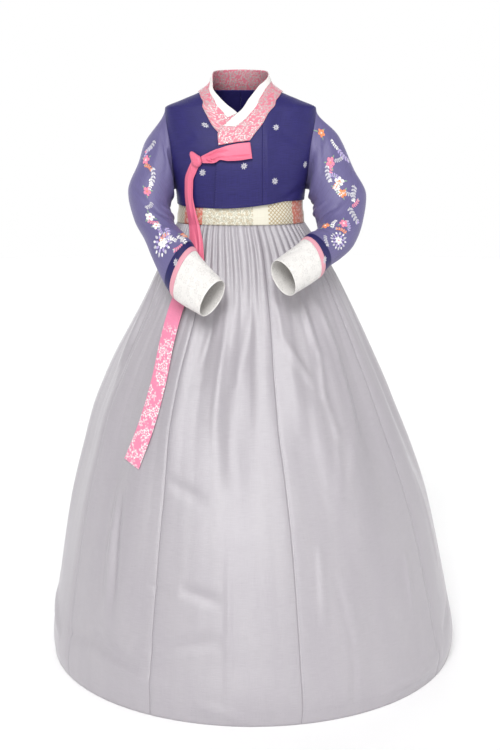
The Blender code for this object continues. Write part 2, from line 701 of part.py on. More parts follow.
def skirt_point(angle, height):
    """Skirt with its pleats, which only dip in from the cover."""
    angle, height = np.broadcast_arrays(angle, height)
    count = PLEATS_A_PANEL * np.interp(angle, SKIRT_SEAMS, np.arange(len(SKIRT_SEAMS)))
    total = PLEATS_A_PANEL * (len(SKIRT_SEAMS) - 1)
    wave = np.sin(2 * np.pi * UNEVEN_TURNS * count / total)
    uneven = 1 - UNEVEN_SHARE + UNEVEN_SHARE * wave
    depth = curve_through(-PLEAT_DEPTH[:, 0], PLEAT_DEPTH[:, 1], -height)
    dip = depth * uneven * (0.5 + 0.5 * np.cos(2 * np.pi * count))
    inwards = np.stack((-np.sin(angle), np.cos(angle), np.zeros(angle.shape)), axis=-1)
    return skirt_cover(angle, height) + inwards * dip[..., None]


def add_skirt():
    """Eight skirt panels, each with its own pleats, meeting at their seams."""
    heights = SKIRT[:, 0][:, None]
    half_width = SKIRT[:, 2][:, None]
    columns = 2 * PLEATS_A_PANEL + 1
    for number in range(len(SKIRT_SEAMS) - 1):
        first, last = SKIRT_SEAMS[number], SKIRT_SEAMS[number + 1]
        angle = np.repeat(np.linspace(first, last, columns)[None], len(SKIRT), axis=0)
        angle[:, 0] += SEAM / half_width[:, 0]
        angle[:, -1] -= SEAM / half_width[:, 0]
        height = np.repeat(heights, columns, axis=1)
        outer = skirt_point(angle, height)
        inwards = moved_out(skirt_cover, angle, height, np.full(angle.shape, -WALL))
        inner = outer + inwards - skirt_cover(angle, height)
        inner[(0, -1), :, 2] = outer[(0, -1), :, 2]
        add_wall("chima_panel_%d" % (number + 1), outer[::-1], inner[::-1], SILVER_LILAC)


def add_band():
    """Brocade band that holds the pleats, rising inside the jacket."""
    angle = np.linspace(-np.pi, np.pi, BAND_STEPS, endpoint=False)[None]
    height = np.repeat(BAND[:, :1], BAND_STEPS, axis=1)
    outer = moved_out(body_point, angle, height, -BAND[:, 1:] * np.ones(angle.shape))
    inner = moved_out(body_point, angle, height, -BAND[:, 1:] - BAND_WALL * np.ones(angle.shape))
    outer[..., 2] = height
    inner[..., 2] = height
    add_wall("chima_waistband", outer, inner, BROCADE, tube=True)


def cloth_front(x, height):
    """Front face of what the ribbons lie on: jacket, then band, then skirt, with no pleats."""
    jacket = body_point(body_angle(x, height), height)[..., 1]
    centre, half_width, _ = skirt_section(np.minimum(height, SKIRT[0, 0]))
    turn = np.arcsin(np.clip((x - centre) / half_width, -1, 1))
    skirt = skirt_cover(turn, np.minimum(height, SKIRT[0, 0]))[..., 1]
    share = soft_step((BAND[0, 0] + HANDOVER - height) / HANDOVER)
    return jacket * (1 - share) + skirt * share


def ribbon_grid(table, steps):
    """Rows of points along a ribbon that lies on the front, from a table of its centre line."""
    reach = np.concatenate(((0,), np.cumsum(np.hypot(*np.diff(table[:, :2], axis=0).T))))
    x, z, width, lift = curve_through(reach, table, np.linspace(0, reach[-1], steps)).T
    course = np.stack((np.gradient(x), np.gradient(z)), axis=1)
    course /= np.linalg.norm(course, axis=1, keepdims=True)
    share = np.array(RIBBON_SHARES)
    across_x = x[:, None] - width[:, None] * share * course[:, 1:]
    across_z = z[:, None] + width[:, None] * share * course[:, :1]
    y = cloth_front(across_x, across_z) - lift[:, None]
    return np.stack((across_x, y, across_z), axis=-1)


def add_ribbon(name, front):
    """Thin ribbon whose given points are its outer face, along its length then back over a fold."""
    normal = np.cross(np.gradient(front, axis=0), np.gradient(front, axis=1))
    if normal[0, :, 1].mean() > 0:
        front = front[:, ::-1]
        normal = -normal[:, ::-1]
    normal /= np.linalg.norm(normal, axis=-1, keepdims=True)
    add_wall(name, front[:, ::-1], (front - normal * RIBBON_WALL)[:, ::-1], PINK)


def add_tie():
    """Goreum: two tails and one loop of the jacket's ribbon tie."""
    add_ribbon("goreum_tail_long", ribbon_grid(TAIL_LONG, TAIL_LONG_STEPS))
    add_ribbon("goreum_tail_short", ribbon_grid(TAIL_SHORT, TAIL_SHORT_STEPS))
    front = ribbon_grid(LOOP, LOOP_STEPS)
    back_table = LOOP[::-1].copy()
    back_table[:, 3] -= LOOP_BACK_LIFT
    back = ribbon_grid(back_table, LOOP_STEPS)[:, ::-1]
    fold = (front[-1:] + back[:1]) / 2
    fold[..., 0] += LOOP_FOLD_REACH
    add_ribbon("goreum_loop", np.concatenate((front, fold, back)))


def add_knot():
    """Knot of the tie: a squeezed oval bead with one pointed ear, its back along the cloth."""
    turn = np.linspace(0, 2 * np.pi, KNOT_SIDES, endpoint=False)
    rise = np.radians(KNOT_RINGS)[:, None]
    ear = KNOT_EAR * np.exp(-((turn - KNOT_EAR_TURN) / KNOT_EAR_SPREAD) ** 2)
    reach = np.cos(rise) ** KNOT_ROUNDNESS * (1 + ear * np.cos(rise))
    x = KNOT_X + KNOT_HALF_LENGTH * reach * np.cos(turn)
    z = KNOT_Z + KNOT_HALF_HEIGHT * reach * np.sin(turn)
    y = cloth_front(x, z) - KNOT_LIFT - KNOT_DEPTH * np.sin(rise)
    points = np.stack((x, y, z), axis=-1).reshape(-1, 3)
    index = np.arange(len(points)).reshape(x.shape)
    ring = np.hstack((index, index[:, :1]))
    fan = np.arange(1, KNOT_SIDES - 1)
    hub = np.zeros(len(fan), dtype=int)
    faces = (
        triangles(ring[:-1, :-1], ring[:-1, 1:], ring[1:, 1:], ring[1:, :-1]),
        np.stack((ring[-1, hub], ring[-1, fan], ring[-1, fan + 1]), axis=1),
        np.stack((ring[0, hub], ring[0, fan + 1], ring[0, fan]), axis=1),
    )
    add_object("goreum_knot", points, np.vstack(faces), PINK)


def main():
    """Makes every piece of the skirt, the jacket, its sleeves and its tie."""
    clear_scene()
    add_skirt()
    add_band()
    add_backs()
    add_fronts()
    add_seop()
    add_collar()
    add_sleeve(1, SLEEVE_LEFT, "left")
    add_sleeve(-1, SLEEVE_RIGHT, "right")
    add_tie()
    add_knot()


main()
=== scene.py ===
"""Korean hanbok: the look of a short jacket and a full skirt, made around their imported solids.

Metres, +Z up. The origin is midway between the shoulder points, -Y is the front and +X is the
wearer's left. Every cloth piece is a surface worked out on a grid of points, given its thickness
towards the inside.
"""

import bpy
import numpy as np
from bpy.props import FloatProperty, FloatVectorProperty, PointerProperty
from bpy.types import Operator, Panel, PropertyGroup
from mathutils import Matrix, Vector


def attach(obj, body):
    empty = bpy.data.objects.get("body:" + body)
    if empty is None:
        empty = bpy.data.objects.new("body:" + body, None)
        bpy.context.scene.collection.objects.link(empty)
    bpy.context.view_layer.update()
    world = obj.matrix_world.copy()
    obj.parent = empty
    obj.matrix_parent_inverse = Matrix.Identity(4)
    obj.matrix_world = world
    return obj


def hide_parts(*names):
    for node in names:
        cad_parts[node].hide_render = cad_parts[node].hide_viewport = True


bl_info = {
    "name": "Korean Hanbok",
    "version": (1, 0, 0),
    "blender": (4, 5, 0),
    "location": "3D View > Sidebar > Hanbok",
    "description": "Makes a short silk jacket with a ribbon tie over a full pleated skirt",
    "category": "Add Mesh",
}

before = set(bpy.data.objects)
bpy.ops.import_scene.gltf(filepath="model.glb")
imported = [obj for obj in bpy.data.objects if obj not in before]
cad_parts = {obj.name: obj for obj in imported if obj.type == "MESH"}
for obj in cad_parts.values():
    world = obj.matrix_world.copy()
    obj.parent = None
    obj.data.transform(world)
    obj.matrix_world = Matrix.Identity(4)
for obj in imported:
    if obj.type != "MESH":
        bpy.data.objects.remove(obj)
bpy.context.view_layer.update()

# Cloth and seams
WALL = 0.0015
EDGE_WALL = 0.0011
BAND_WALL = 0.0022
RIBBON_WALL = 0.0011
SEAM = 0.00001

# Jacket body: heights of its landmarks above the shoulder line
ARMPIT = -0.200
SHOULDER = 0.0
NECK_TOP = 0.045
HEM_LEVEL = -0.236
SQUARENESS = 0.87
ARMHOLE_BOW = np.radians(24.0)
ARMHOLE_BOW_POWER = 0.7
SEOP_SEAM_X = 0.053
COLLAR_OVERLAP = 0.018
LAPPED_EDGE_X = -0.063
LAPPED_EDGE_LEAN = 0.008
SEOP_TOP_SHARES = (0.0, 0.70, 1.0)
SEOP_TOP_HEIGHTS = (-0.078, -0.062, -0.024)
HIDDEN_LAP = 0.026
HIDDEN_LAP_START = -0.085
HIDDEN_LAP_RUN = 0.02

# Body sections: height, half width, front depth, back depth
BODY = np.array((
    (-0.300, 0.163, 0.1240, 0.1240),
    (-0.281, 0.161, 0.1216, 0.1216),
    (-0.240, 0.160, 0.1210, 0.1200),
    (-0.200, 0.163, 0.1240, 0.1200),
    (-0.150, 0.176, 0.1270, 0.1190),
    (-0.100, 0.186, 0.1210, 0.1160),
    (-0.050, 0.190, 0.1030, 0.1080),
    (0.000, 0.188, 0.080, 0.092),
    (0.020, 0.146, 0.070, 0.084),
    (0.040, 0.100, 0.062, 0.076),
    (0.060, 0.076, 0.056, 0.069),
    (0.100, 0.062, 0.050, 0.062),
    (0.130, 0.060, 0.048, 0.060),
))

# Jacket hem: angle from centre front towards the wearer's left in degrees, height
JACKET_HEM = np.array((
    (-180.0, -0.236),
    (-90.0, -0.235),
    (-45.0, -0.239),
    (-12.0, -0.240),
    (20.0, -0.231),
    (45.0, -0.224),
    (90.0, -0.226),
    (180.0, -0.236),
))

# Collar across the chest: inner edge x, z, outer edge x, z, from its free end up to the neck
COLLAR_OVER = np.array((
    (-0.052, -0.090, 0.023, -0.079),
    (-0.054, -0.064, 0.038, -0.059),
    (-0.033, -0.039, 0.054, -0.039),
    (-0.005, -0.014, 0.071, -0.010),
    (0.019, 0.018, 0.086, 0.014),
    (0.041, 0.048, 0.097, 0.030),
))
COLLAR_UNDER = np.array((
    (-0.066, 0.050, -0.099, 0.031),
    (-0.050, 0.024, -0.091, 0.010),
    (-0.029, 0.004, -0.085, -0.012),
    (-0.006, -0.014, -0.068, -0.042),
    (0.012, -0.036, -0.046, -0.066),
))

# Collar round the neck: angle in degrees, inner edge height, outer edge height
COLLAR_NECK = np.array((
    (78.0, 0.079, 0.0375),
    (100.0, 0.088, 0.0375),
    (126.0, 0.092, 0.035),
    (153.0, 0.094, 0.032),
    (180.0, 0.095, 0.030),
    (207.0, 0.094, 0.032),
    (234.0, 0.092, 0.035),
    (260.0, 0.088, 0.0375),
    (282.0, 0.079, 0.0375),
))
EDGE_SHARE = 0.36
EDGE_START = 1.7
COLLAR_CLEAR = 0.0020
LAP_CLEAR = 0.0012
OVERLAP_LIFT = COLLAR_CLEAR + WALL + LAP_CLEAR
LIFT_FROM_X = 0.105
LIFT_RUN_X = 0.05
LIFT_RUN_Z = 0.06

# Sleeves: inner edge x, y, z, outer edge x, y, z, half depth, one row for each section
SLEEVE_LEFT = np.array((
    (0.175, -0.018, -0.216, 0.243, -0.010, -0.066, 0.060),
    (0.179, -0.040, -0.242, 0.283, -0.022, -0.150, 0.058),
    (0.185, -0.065, -0.263, 0.314, -0.036, -0.217, 0.055),
    (0.191, -0.100, -0.287, 0.303, -0.070, -0.279, 0.051),
    (0.182, -0.135, -0.293, 0.277, -0.115, -0.332, 0.046),
    (0.174, -0.155, -0.294, 0.243, -0.148, -0.360, 0.041),
    (0.163, -0.178, -0.296, 0.210, -0.178, -0.378, 0.036),
    (0.151, -0.198, -0.307, 0.184, -0.204, -0.402, 0.034),
    (0.081, -0.270, -0.350, 0.122, -0.276, -0.431, 0.034),
))
SLEEVE_RIGHT = np.array((
    (-0.176, -0.018, -0.216, -0.236, -0.010, -0.082, 0.063),
    (-0.175, -0.040, -0.243, -0.255, -0.020, -0.133, 0.056),
    (-0.169, -0.064, -0.264, -0.281, -0.035, -0.205, 0.054),
    (-0.158, -0.092, -0.286, -0.265, -0.065, -0.270, 0.050),
    (-0.141, -0.125, -0.296, -0.233, -0.105, -0.323, 0.046),
    (-0.129, -0.152, -0.304, -0.208, -0.146, -0.370, 0.040),
    (-0.118, -0.178, -0.315, -0.176, -0.190, -0.424, 0.035),
    (-0.106, -0.198, -0.335, -0.154, -0.214, -0.451, 0.033),
    (-0.040, -0.268, -0.398, -0.090, -0.280, -0.479, 0.032),
))
SLEEVES = ((1, SLEEVE_LEFT), (-1, SLEEVE_RIGHT))
NAVY_SHARE = 0.57
GUSSET = 0.009

# Sleeve creases: place along and around at one end, then at the other, spread, height
SLEEVE_CREASES = np.array((
    (0.10, 0.30, 0.12, 0.46, 0.0110, -0.0045),
    (0.22, 0.36, 0.20, 0.54, 0.0100, 0.0040),
    (0.34, 0.38, 0.30, 0.62, 0.0100, -0.0050),
    (0.46, 0.34, 0.44, 0.60, 0.0110, 0.0045),
    (0.58, 0.28, 0.56, 0.54, 0.0100, -0.0045),
    (0.72, 0.20, 0.80, 0.40, 0.0110, 0.0030),
    (0.24, 0.64, 0.30, 0.82, 0.0110, -0.0040),
    (0.44, 0.58, 0.48, 0.76, 0.0110, -0.0040),
    (0.03, 0.08, 0.30, 0.20, 0.0090, 0.0022),
    (0.05, 0.16, 0.26, 0.28, 0.0080, -0.0022),
    (0.05, 0.92, 0.28, 0.84, 0.0090, 0.0022),
    (0.40, 0.10, 0.56, 0.30, 0.0080, -0.0020),
    (0.50, 0.16, 0.66, 0.34, 0.0070, 0.0018),
    (0.62, 0.08, 0.78, 0.26, 0.0080, -0.0018),
    (0.66, 0.36, 0.74, 0.56, 0.0070, -0.0026),
    (0.84, 0.14, 0.90, 0.38, 0.0070, -0.0020),
    (0.90, 0.30, 0.97, 0.52, 0.0070, 0.0020),
    (0.36, 0.72, 0.60, 0.90, 0.0090, 0.0026),
    (0.62, 0.66, 0.82, 0.84, 0.0080, -0.0024),
    (0.80, 0.60, 0.94, 0.80, 0.0070, 0.0020),
    (0.14, 0.50, 0.24, 0.66, 0.0080, -0.0030),
))
CUFF_CREASES = np.array((
    (1.10, 0.22, 1.32, 0.34, 0.0080, 0.0012),
    (1.16, 0.38, 1.36, 0.48, 0.0080, -0.0012),
    (1.12, 0.70, 1.34, 0.62, 0.0080, 0.0012),
    (1.20, 0.10, 1.38, 0.20, 0.0070, -0.0010),
))


# Creases of the jacket's body: x, height at one end, then at the other, spread, height
FRONT_CREASES = np.array((
    (0.064, -0.050, 0.067, -0.228, 0.0035, 0.0011),
    (0.060, -0.060, 0.061, -0.222, 0.0020, -0.0007),
    (0.168, -0.095, 0.100, -0.058, 0.0110, -0.0026),
    (0.172, -0.130, 0.098, -0.112, 0.0100, 0.0018),
    (0.160, -0.168, 0.095, -0.212, 0.0110, 0.0020),
    (0.150, -0.190, 0.105, -0.224, 0.0070, -0.0014),
    (-0.168, -0.100, -0.112, -0.062, 0.0110, -0.0024),
    (-0.168, -0.150, -0.115, -0.126, 0.0090, 0.0016),
    (-0.158, -0.176, -0.118, -0.214, 0.0090, 0.0016),
    (-0.048, -0.205, 0.038, -0.190, 0.0120, 0.0008),
    (0.092, -0.150, 0.112, -0.226, 0.0100, -0.0013),
    (0.020, -0.112, 0.036, -0.176, 0.0090, -0.0007),
))
BACK_CREASES = np.array((
    (0.004, 0.020, 0.003, -0.236, 0.0030, -0.0006),
    (-0.135, -0.050, -0.055, -0.128, 0.0130, -0.0028),
    (0.138, -0.058, 0.062, -0.140, 0.0120, -0.0026),
    (-0.150, -0.122, -0.062, -0.176, 0.0120, 0.0022),
    (0.148, -0.138, 0.070, -0.182, 0.0110, 0.0024),
    (-0.140, -0.190, -0.050, -0.216, 0.0090, -0.0016),
    (0.132, -0.196, 0.040, -0.208, 0.0090, -0.0014),
    (0.030, -0.096, 0.038, -0.224, 0.0110, 0.0014),
    (-0.028, -0.110, -0.034, -0.226, 0.0110, -0.0012),
    (-0.060, -0.006, 0.052, -0.014, 0.0120, 0.0014),
))
CREASE_FADE = 0.6
SIDE_FADE = 0.35
SLEEVE_LENGTH = 0.43
SLEEVE_GIRTH = 0.40

# Skirt band: height, how far it lies inside the jacket's outer face
BAND = np.array((
    (-0.281, 0.0000),
    (-0.262, 0.0003),
    (-0.244, 0.0031),
    (-0.206, 0.0035),
))
HANDOVER = 0.030

# Skirt sections: height, centre x, half width, depth as a share of the half width
FLOOR = -1.400
SKIRT = np.array((
    (-0.2813, 0.000, 0.1610, 0.755),
    (-0.3000, 0.002, 0.1720, 0.755),
    (-0.3300, 0.006, 0.1880, 0.758),
    (-0.3700, 0.010, 0.2090, 0.764),
    (-0.4200, 0.013, 0.2330, 0.772),
    (-0.4800, 0.014, 0.2610, 0.785),
    (-0.5500, 0.012, 0.2950, 0.805),
    (-0.6300, 0.009, 0.3330, 0.835),
    (-0.7300, 0.009, 0.3750, 0.880),
    (-0.8500, 0.016, 0.4170, 0.920),
    (-0.9800, 0.022, 0.4580, 0.950),
    (-1.1100, 0.026, 0.4890, 0.975),
    (-1.2500, 0.029, 0.5180, 0.990),
    (-1.3600, 0.032, 0.5340, 1.000),
    (-1.4000, 0.030, 0.5290, 1.000),
))
SKIRT_SEAMS = np.radians((-108.0, -60.5, -27.3, 12.3, 60.5, 108.0, 156.0, 204.0, 252.0))
PLEATS_A_PANEL = 8
SQUARE_FADE = 0.20
FOLD_FADE = 0.8

# Pleat depth down the skirt: height, depth
PLEAT_DEPTH = np.array((
    (-0.281, 0.0050),
    (-0.335, 0.0064),
    (-0.400, 0.0046),
    (-0.480, 0.0024),
    (-0.600, 0.0012),
    (-0.900, 0.0005),
    (-1.400, 0.0003),
))

# Skirt folds: top angle, top height, low angle, low height, half width, rise (minus is a trough)
SKIRT_FOLDS = np.array((
    (-15.8, -0.42, -19.0, -0.66, 0.030, -0.011),
    (-9.0, -0.40, -11.0, -0.80, 0.034, 0.009),
    (2.2, -0.42, -3.8, -0.98, 0.032, -0.013),
    (6.0, -0.44, 7.5, -0.74, 0.028, 0.008),
    (19.0, -0.40, 21.0, -0.78, 0.030, 0.011),
    (24.5, -0.42, 27.5, -0.70, 0.026, -0.009),
    (31.0, -0.40, 28.0, -0.98, 0.034, 0.011),
    (36.0, -0.40, 31.0, -0.92, 0.028, -0.009),
    (42.0, -0.46, 33.0, -1.10, 0.052, 0.013),
    (52.0, -0.42, 50.0, -1.02, 0.044, -0.010),
    (-24.0, -0.40, -27.0, -0.90, 0.036, 0.008),
    (-39.0, -0.62, -38.0, -1.33, 0.050, 0.008),
    (-46.0, -0.40, -50.0, -1.05, 0.044, -0.009),
    (-60.0, -0.42, -62.0, -1.25, 0.050, 0.010),
    (27.0, -1.00, 26.0, -1.38, 0.045, 0.007),
    (66.0, -0.40, 70.0, -1.20, 0.050, 0.011),
    (80.0, -0.42, 82.0, -0.95, 0.040, -0.012),
    (92.0, -0.40, 94.0, -1.25, 0.050, 0.010),
    (108.0, -0.44, 112.0, -1.00, 0.046, -0.012),
    (124.0, -0.40, 122.0, -1.30, 0.056, 0.012),
    (136.0, -0.42, 139.0, -0.90, 0.042, -0.011),
    (152.0, -0.40, 156.0, -1.15, 0.052, 0.011),
    (166.0, -0.42, 165.0, -1.02, 0.044, -0.012),
    (182.0, -0.40, 178.0, -1.28, 0.056, 0.012),
    (198.0, -0.44, 202.0, -0.92, 0.042, -0.010),
    (212.0, -0.40, 209.0, -1.22, 0.052, 0.011),
    (226.0, -0.42, 229.0, -1.00, 0.044, -0.012),
    (-118.0, -0.40, -113.0, -1.26, 0.054, 0.011),
    (-100.0, -0.42, -103.0, -0.96, 0.044, -0.011),
    (-86.0, -0.40, -83.0, -1.18, 0.048, 0.010),
))

# Skirt creases: angle, height at one end, then at the other, spread, height
SKIRT_CREASES = np.array((
    (-71.0, -0.420, -61.5, -0.680, 0.0120, -0.0076),
    (-76.0, -0.400, -68.0, -0.640, 0.0144, 0.0068),
    (17.0, -0.460, 17.6, -0.560, 0.0096, 0.0051),
    (17.6, -0.540, 29.0, -0.650, 0.0096, 0.0054),
    (31.0, -0.430, 35.5, -0.600, 0.0096, 0.0058),
    (40.5, -0.420, 47.0, -0.600, 0.0120, 0.0061),
    (46.5, -0.560, 42.0, -0.820, 0.0144, 0.0058),
    (43.5, -0.740, 32.0, -0.900, 0.0144, 0.0044),
    (36.0, -0.570, 31.6, -0.700, 0.0096, 0.0048),
    (32.4, -0.660, 34.6, -0.780, 0.0108, 0.0041),
    (34.6, -0.740, 29.0, -0.920, 0.0132, 0.0041),
    (2.6, -0.480, -5.0, -0.690, 0.0170, -0.0052),
    (-5.0, -0.640, -5.4, -0.880, 0.0192, -0.0082),
    (-9.6, -0.540, -10.6, -0.760, 0.0120, 0.0037),
    (-17.0, -0.480, -19.6, -0.620, 0.0108, -0.0044),
    (-27.5, -0.858, -12.5, -0.902, 0.0132, -0.0041),
    (-44.0, -0.900, -41.0, -1.190, 0.0096, -0.0058),
    (-46.4, -0.880, -43.8, -1.210, 0.0120, 0.0051),
    (-62.0, -1.290, -44.0, -1.252, 0.0156, -0.0075),
    (-48.0, -1.250, -31.0, -1.290, 0.0144, -0.0065),
    (-50.0, -1.290, -22.0, -1.322, 0.0144, 0.0054),
    (-29.0, -1.246, -8.0, -1.198, 0.0156, -0.0058),
    (-20.0, -1.096, -8.0, -1.118, 0.0120, -0.0051),
    (-30.4, -1.096, -23.0, -1.108, 0.0084, -0.0031),
    (-15.0, -1.350, 1.0, -1.390, 0.0132, 0.0044),
    (20.6, -1.000, 19.6, -1.190, 0.0108, 0.0037),
    (24.0, -1.060, 27.0, -1.230, 0.0108, -0.0041),
    (27.0, -1.200, 26.0, -1.380, 0.0108, -0.0034),
    (34.0, -1.372, 64.0, -1.340, 0.0144, 0.0058),
    (52.0, -1.060, 50.6, -1.200, 0.0108, 0.0037),
    (-6.0, -1.000, -6.4, -1.360, 0.0096, 0.0024),
    (66.0, -1.300, 84.0, -1.262, 0.0156, -0.0068),
    (72.0, -0.900, 74.0, -1.160, 0.0132, 0.0044),
    (-84.0, -1.240, -68.0, -1.318, 0.0156, 0.0068),
    (-96.0, -0.700, -93.0, -1.000, 0.0132, -0.0058),
    (-110.0, -1.300, -92.0, -1.262, 0.0156, -0.0068),
    (104.0, -0.480, 101.0, -0.760, 0.0132, -0.0061),
    (118.0, -1.250, 138.0, -1.300, 0.0156, -0.0068),
    (130.0, -0.620, 134.0, -0.860, 0.0144, 0.0058),
    (160.0, -0.500, 161.0, -0.820, 0.0132, -0.0061),
    (168.0, -1.300, 186.0, -1.250, 0.0156, 0.0065),
    (174.0, -0.660, 171.0, -0.980, 0.0144, 0.0054),
    (190.0, -0.480, 194.0, -0.760, 0.0132, -0.0058),
    (204.0, -1.180, 220.0, -1.230, 0.0144, -0.0061),
    (220.0, -0.520, 217.0, -0.820, 0.0132, 0.0058),
    (232.0, -0.900, 234.0, -1.200, 0.0132, -0.0048),
    (148.0, -1.060, 147.0, -1.320, 0.0120, 0.0048),
))

# Creases of the ribbons: share across, metres along at one end, then at the other, spread, height
TAIL_CREASES = np.array((
    (0.006, 0.000, 0.002, 0.120, 0.0022, -0.0018),
    (-0.006, 0.000, -0.005, 0.150, 0.0024, 0.0018),
    (0.010, 0.060, 0.004, 0.240, 0.0026, 0.0015),
    (-0.004, 0.160, 0.006, 0.340, 0.0030, -0.0015),
    (-0.014, 0.420, 0.014, 0.452, 0.0050, 0.0012),
    (-0.014, 0.580, 0.014, 0.560, 0.0060, -0.0012),
))
LOOP_CREASES = np.array((
    (0.004, 0.000, 0.006, 0.070, 0.0022, -0.0027),
    (-0.002, 0.000, -0.004, 0.060, 0.0022, 0.0024),
    (-0.007, 0.000, -0.012, 0.088, 0.0024, -0.0024),
    (0.009, 0.004, 0.014, 0.064, 0.0022, 0.0021),
    (-0.010, 0.040, -0.017, 0.112, 0.0020, 0.0018),
    (-0.0085, 0.072, -0.0115, 0.124, 0.0012, -0.0024),
    (-0.0110, 0.072, -0.0140, 0.124, 0.0016, 0.0012),
    (-0.0020, 0.008, -0.0110, 0.026, 0.0014, -0.0024),
    (0.0010, 0.016, -0.0120, 0.034, 0.0013, -0.0024),
    (-0.0005, 0.012, -0.0115, 0.030, 0.0012, 0.0020),
))

# Ribbon tie: centre x, z, width, lift off the body, from the knot to the low end
TAIL_LONG = np.array((
    (-0.110, -0.128, 0.017, 0.0020),
    (-0.118, -0.146, 0.019, 0.0022),
    (-0.1275, -0.172, 0.018, 0.0032),
    (-0.1285, -0.205, 0.018, 0.0048),
    (-0.1240, -0.246, 0.019, 0.0075),
    (-0.1160, -0.290, 0.022, 0.0085),
    (-0.1130, -0.330, 0.026, 0.0075),
    (-0.1180, -0.375, 0.030, 0.0065),
    (-0.136, -0.425, 0.034, 0.0065),
    (-0.158, -0.480, 0.035, 0.0065),
    (-0.180, -0.560, 0.036, 0.0065),
    (-0.196, -0.640, 0.037, 0.0065),
    (-0.224, -0.740, 0.039, 0.0065),
    (-0.262, -0.838, 0.041, 0.0070),
))
TAIL_SHORT = np.array((
    (-0.106, -0.130, 0.015, 0.0037),
    (-0.114, -0.148, 0.016, 0.0043),
    (-0.1235, -0.174, 0.016, 0.0062),
    (-0.1245, -0.207, 0.016, 0.0090),
    (-0.1190, -0.248, 0.018, 0.0120),
    (-0.1100, -0.291, 0.023, 0.0130),
    (-0.1045, -0.330, 0.028, 0.0130),
    (-0.1040, -0.372, 0.033, 0.0130),
))

# Ribbon loop, front layer from the knot to its fold: centre x, z, width, lift
LOOP = np.array((
    (-0.0932, -0.1223, 0.0160, 0.0106),
    (-0.0790, -0.1190, 0.0230, 0.0116),
    (-0.0659, -0.1156, 0.0285, 0.0124),
    (-0.0538, -0.1095, 0.0265, 0.0130),
    (-0.0300, -0.1066, 0.0360, 0.0140),
    (-0.0006, -0.1030, 0.0400, 0.0144),
    (0.0225, -0.1000, 0.0385, 0.0140),
))
LOOP_BACK_LIFT = 0.0040
LOOP_FOLD_REACH = 0.004

# Knot of the tie
KNOT_X = -0.106
KNOT_Z = -0.126
KNOT_HALF_LENGTH = 0.0135
KNOT_HALF_HEIGHT = 0.0150
KNOT_DEPTH = 0.0100
KNOT_LIFT = 0.0045
KNOT_ROUNDNESS = 0.7
KNOT_EAR = 0.85
KNOT_EAR_TURN = np.radians(128.0)
KNOT_EAR_SPREAD = np.radians(26.0)

# How finely the surfaces are worked out
RIM_SHARE = 0.33
STRIP_CHANGE = 0.12
LOW_ROWS = 12
ARMHOLE_ROWS = 70
SHOULDER_ROWS = 18
PANEL_COLUMNS = 62
SEOP_ROWS = 60
COLLAR_ROWS_A_STATION = 12
COLLAR_COLUMNS = 22
EDGE_COLUMNS = 9
COLLAR_CROWN = 0.0007
HALF_RING = 56
SLEEVE_ROWS = 112
BAND_ROWS = 12
PIPING_ROWS = 9
CUFF_ROWS = 30
PIPING_ROLL = 0.0010
SKIRT_ROWS = 132
SKIRT_COLUMNS = 89
PLEAT_LEAN = 0.055
SEAM_DIP = 0.0012
SEAM_PUCKER = 0.0005
PUCKER_PITCH = 0.021
SEAM_PUCKER_SHARE = 0.018
HEM_FADE = 0.03
WAIST_ROWS = 20
WAIST_COLUMNS = 300
RIBBON_COLUMNS = 41
TAIL_LONG_ROWS = 220
TAIL_SHORT_ROWS = 90
LOOP_ROWS = 96
FOLD_ROWS = 11

# The knot's surface
KNOT_SIDES = 72
KNOT_RINGS = 26
KNOT_GATHER = 0.0005
KNOT_GATHERS = 9
KNOT_WRAP = 0.0009

# Embroidery on the sleeves: place, kind, half size, turn, thread of its petals, thread of its heart
SLEEVE_MOTIFS = (
    ((0.200, -0.039, -0.061), "blossom", 0.0123, 20, "orange", "white"),
    ((0.255, -0.044, -0.113), "sprig", 0.0230, 25, "lilac", "silver"),
    ((0.219, -0.073, -0.131), "blossom", 0.0145, 50, "pink", "orange"),
    ((0.219, -0.079, -0.156), "sprig", 0.0203, -30, "silver", "white"),
    ((0.242, -0.084, -0.178), "blossom", 0.0138, 10, "white", "orange"),
    ((0.236, -0.090, -0.191), "blossom", 0.0101, 40, "white", "pink"),
    ((0.252, -0.095, -0.204), "blossom", 0.0123, 65, "orange", "white"),
    ((0.283, -0.083, -0.203), "sprig", 0.0216, -20, "silver", "white"),
    ((0.280, -0.110, -0.252), "sprig", 0.0243, 40, "silver", "lilac"),
    ((0.238, -0.176, -0.312), "bouquet", 0.0230, 70, "white", "pink"),
    ((0.251, -0.147, -0.273), "blossom", 0.0130, 15, "pink", "white"),
    ((0.206, -0.153, -0.278), "blossom", 0.0116, 30, "orange", "white"),
    ((0.201, -0.217, -0.353), "rosette", 0.0098, 0, "silver", "silver"),
    ((-0.221, -0.038, -0.089), "sprig", 0.0203, 15, "silver", "pink"),
    ((-0.235, -0.052, -0.127), "blossom", 0.0130, 35, "pink", "white"),
    ((-0.220, -0.079, -0.164), "sprig", 0.0216, -35, "silver", "white"),
    ((-0.229, -0.092, -0.200), "blossom", 0.0123, 60, "pink", "orange"),
    ((-0.220, -0.124, -0.260), "blossom", 0.0138, 5, "white", "pink"),
    ((-0.204, -0.148, -0.279), "blossom", 0.0116, 45, "white", "orange"),
    ((-0.180, -0.167, -0.295), "sprig", 0.0175, 10, "lilac", "silver"),
    ((-0.186, -0.176, -0.320), "bouquet", 0.0290, 25, "white", "silver"),
    ((-0.142, -0.183, -0.309), "sprig", 0.0189, -25, "white", "silver"),
    ((-0.136, -0.162, -0.301), "blossom", 0.0116, 55, "orange", "white"),
    ((-0.154, -0.218, -0.360), "rosette", 0.0098, 0, "silver", "silver"),
)
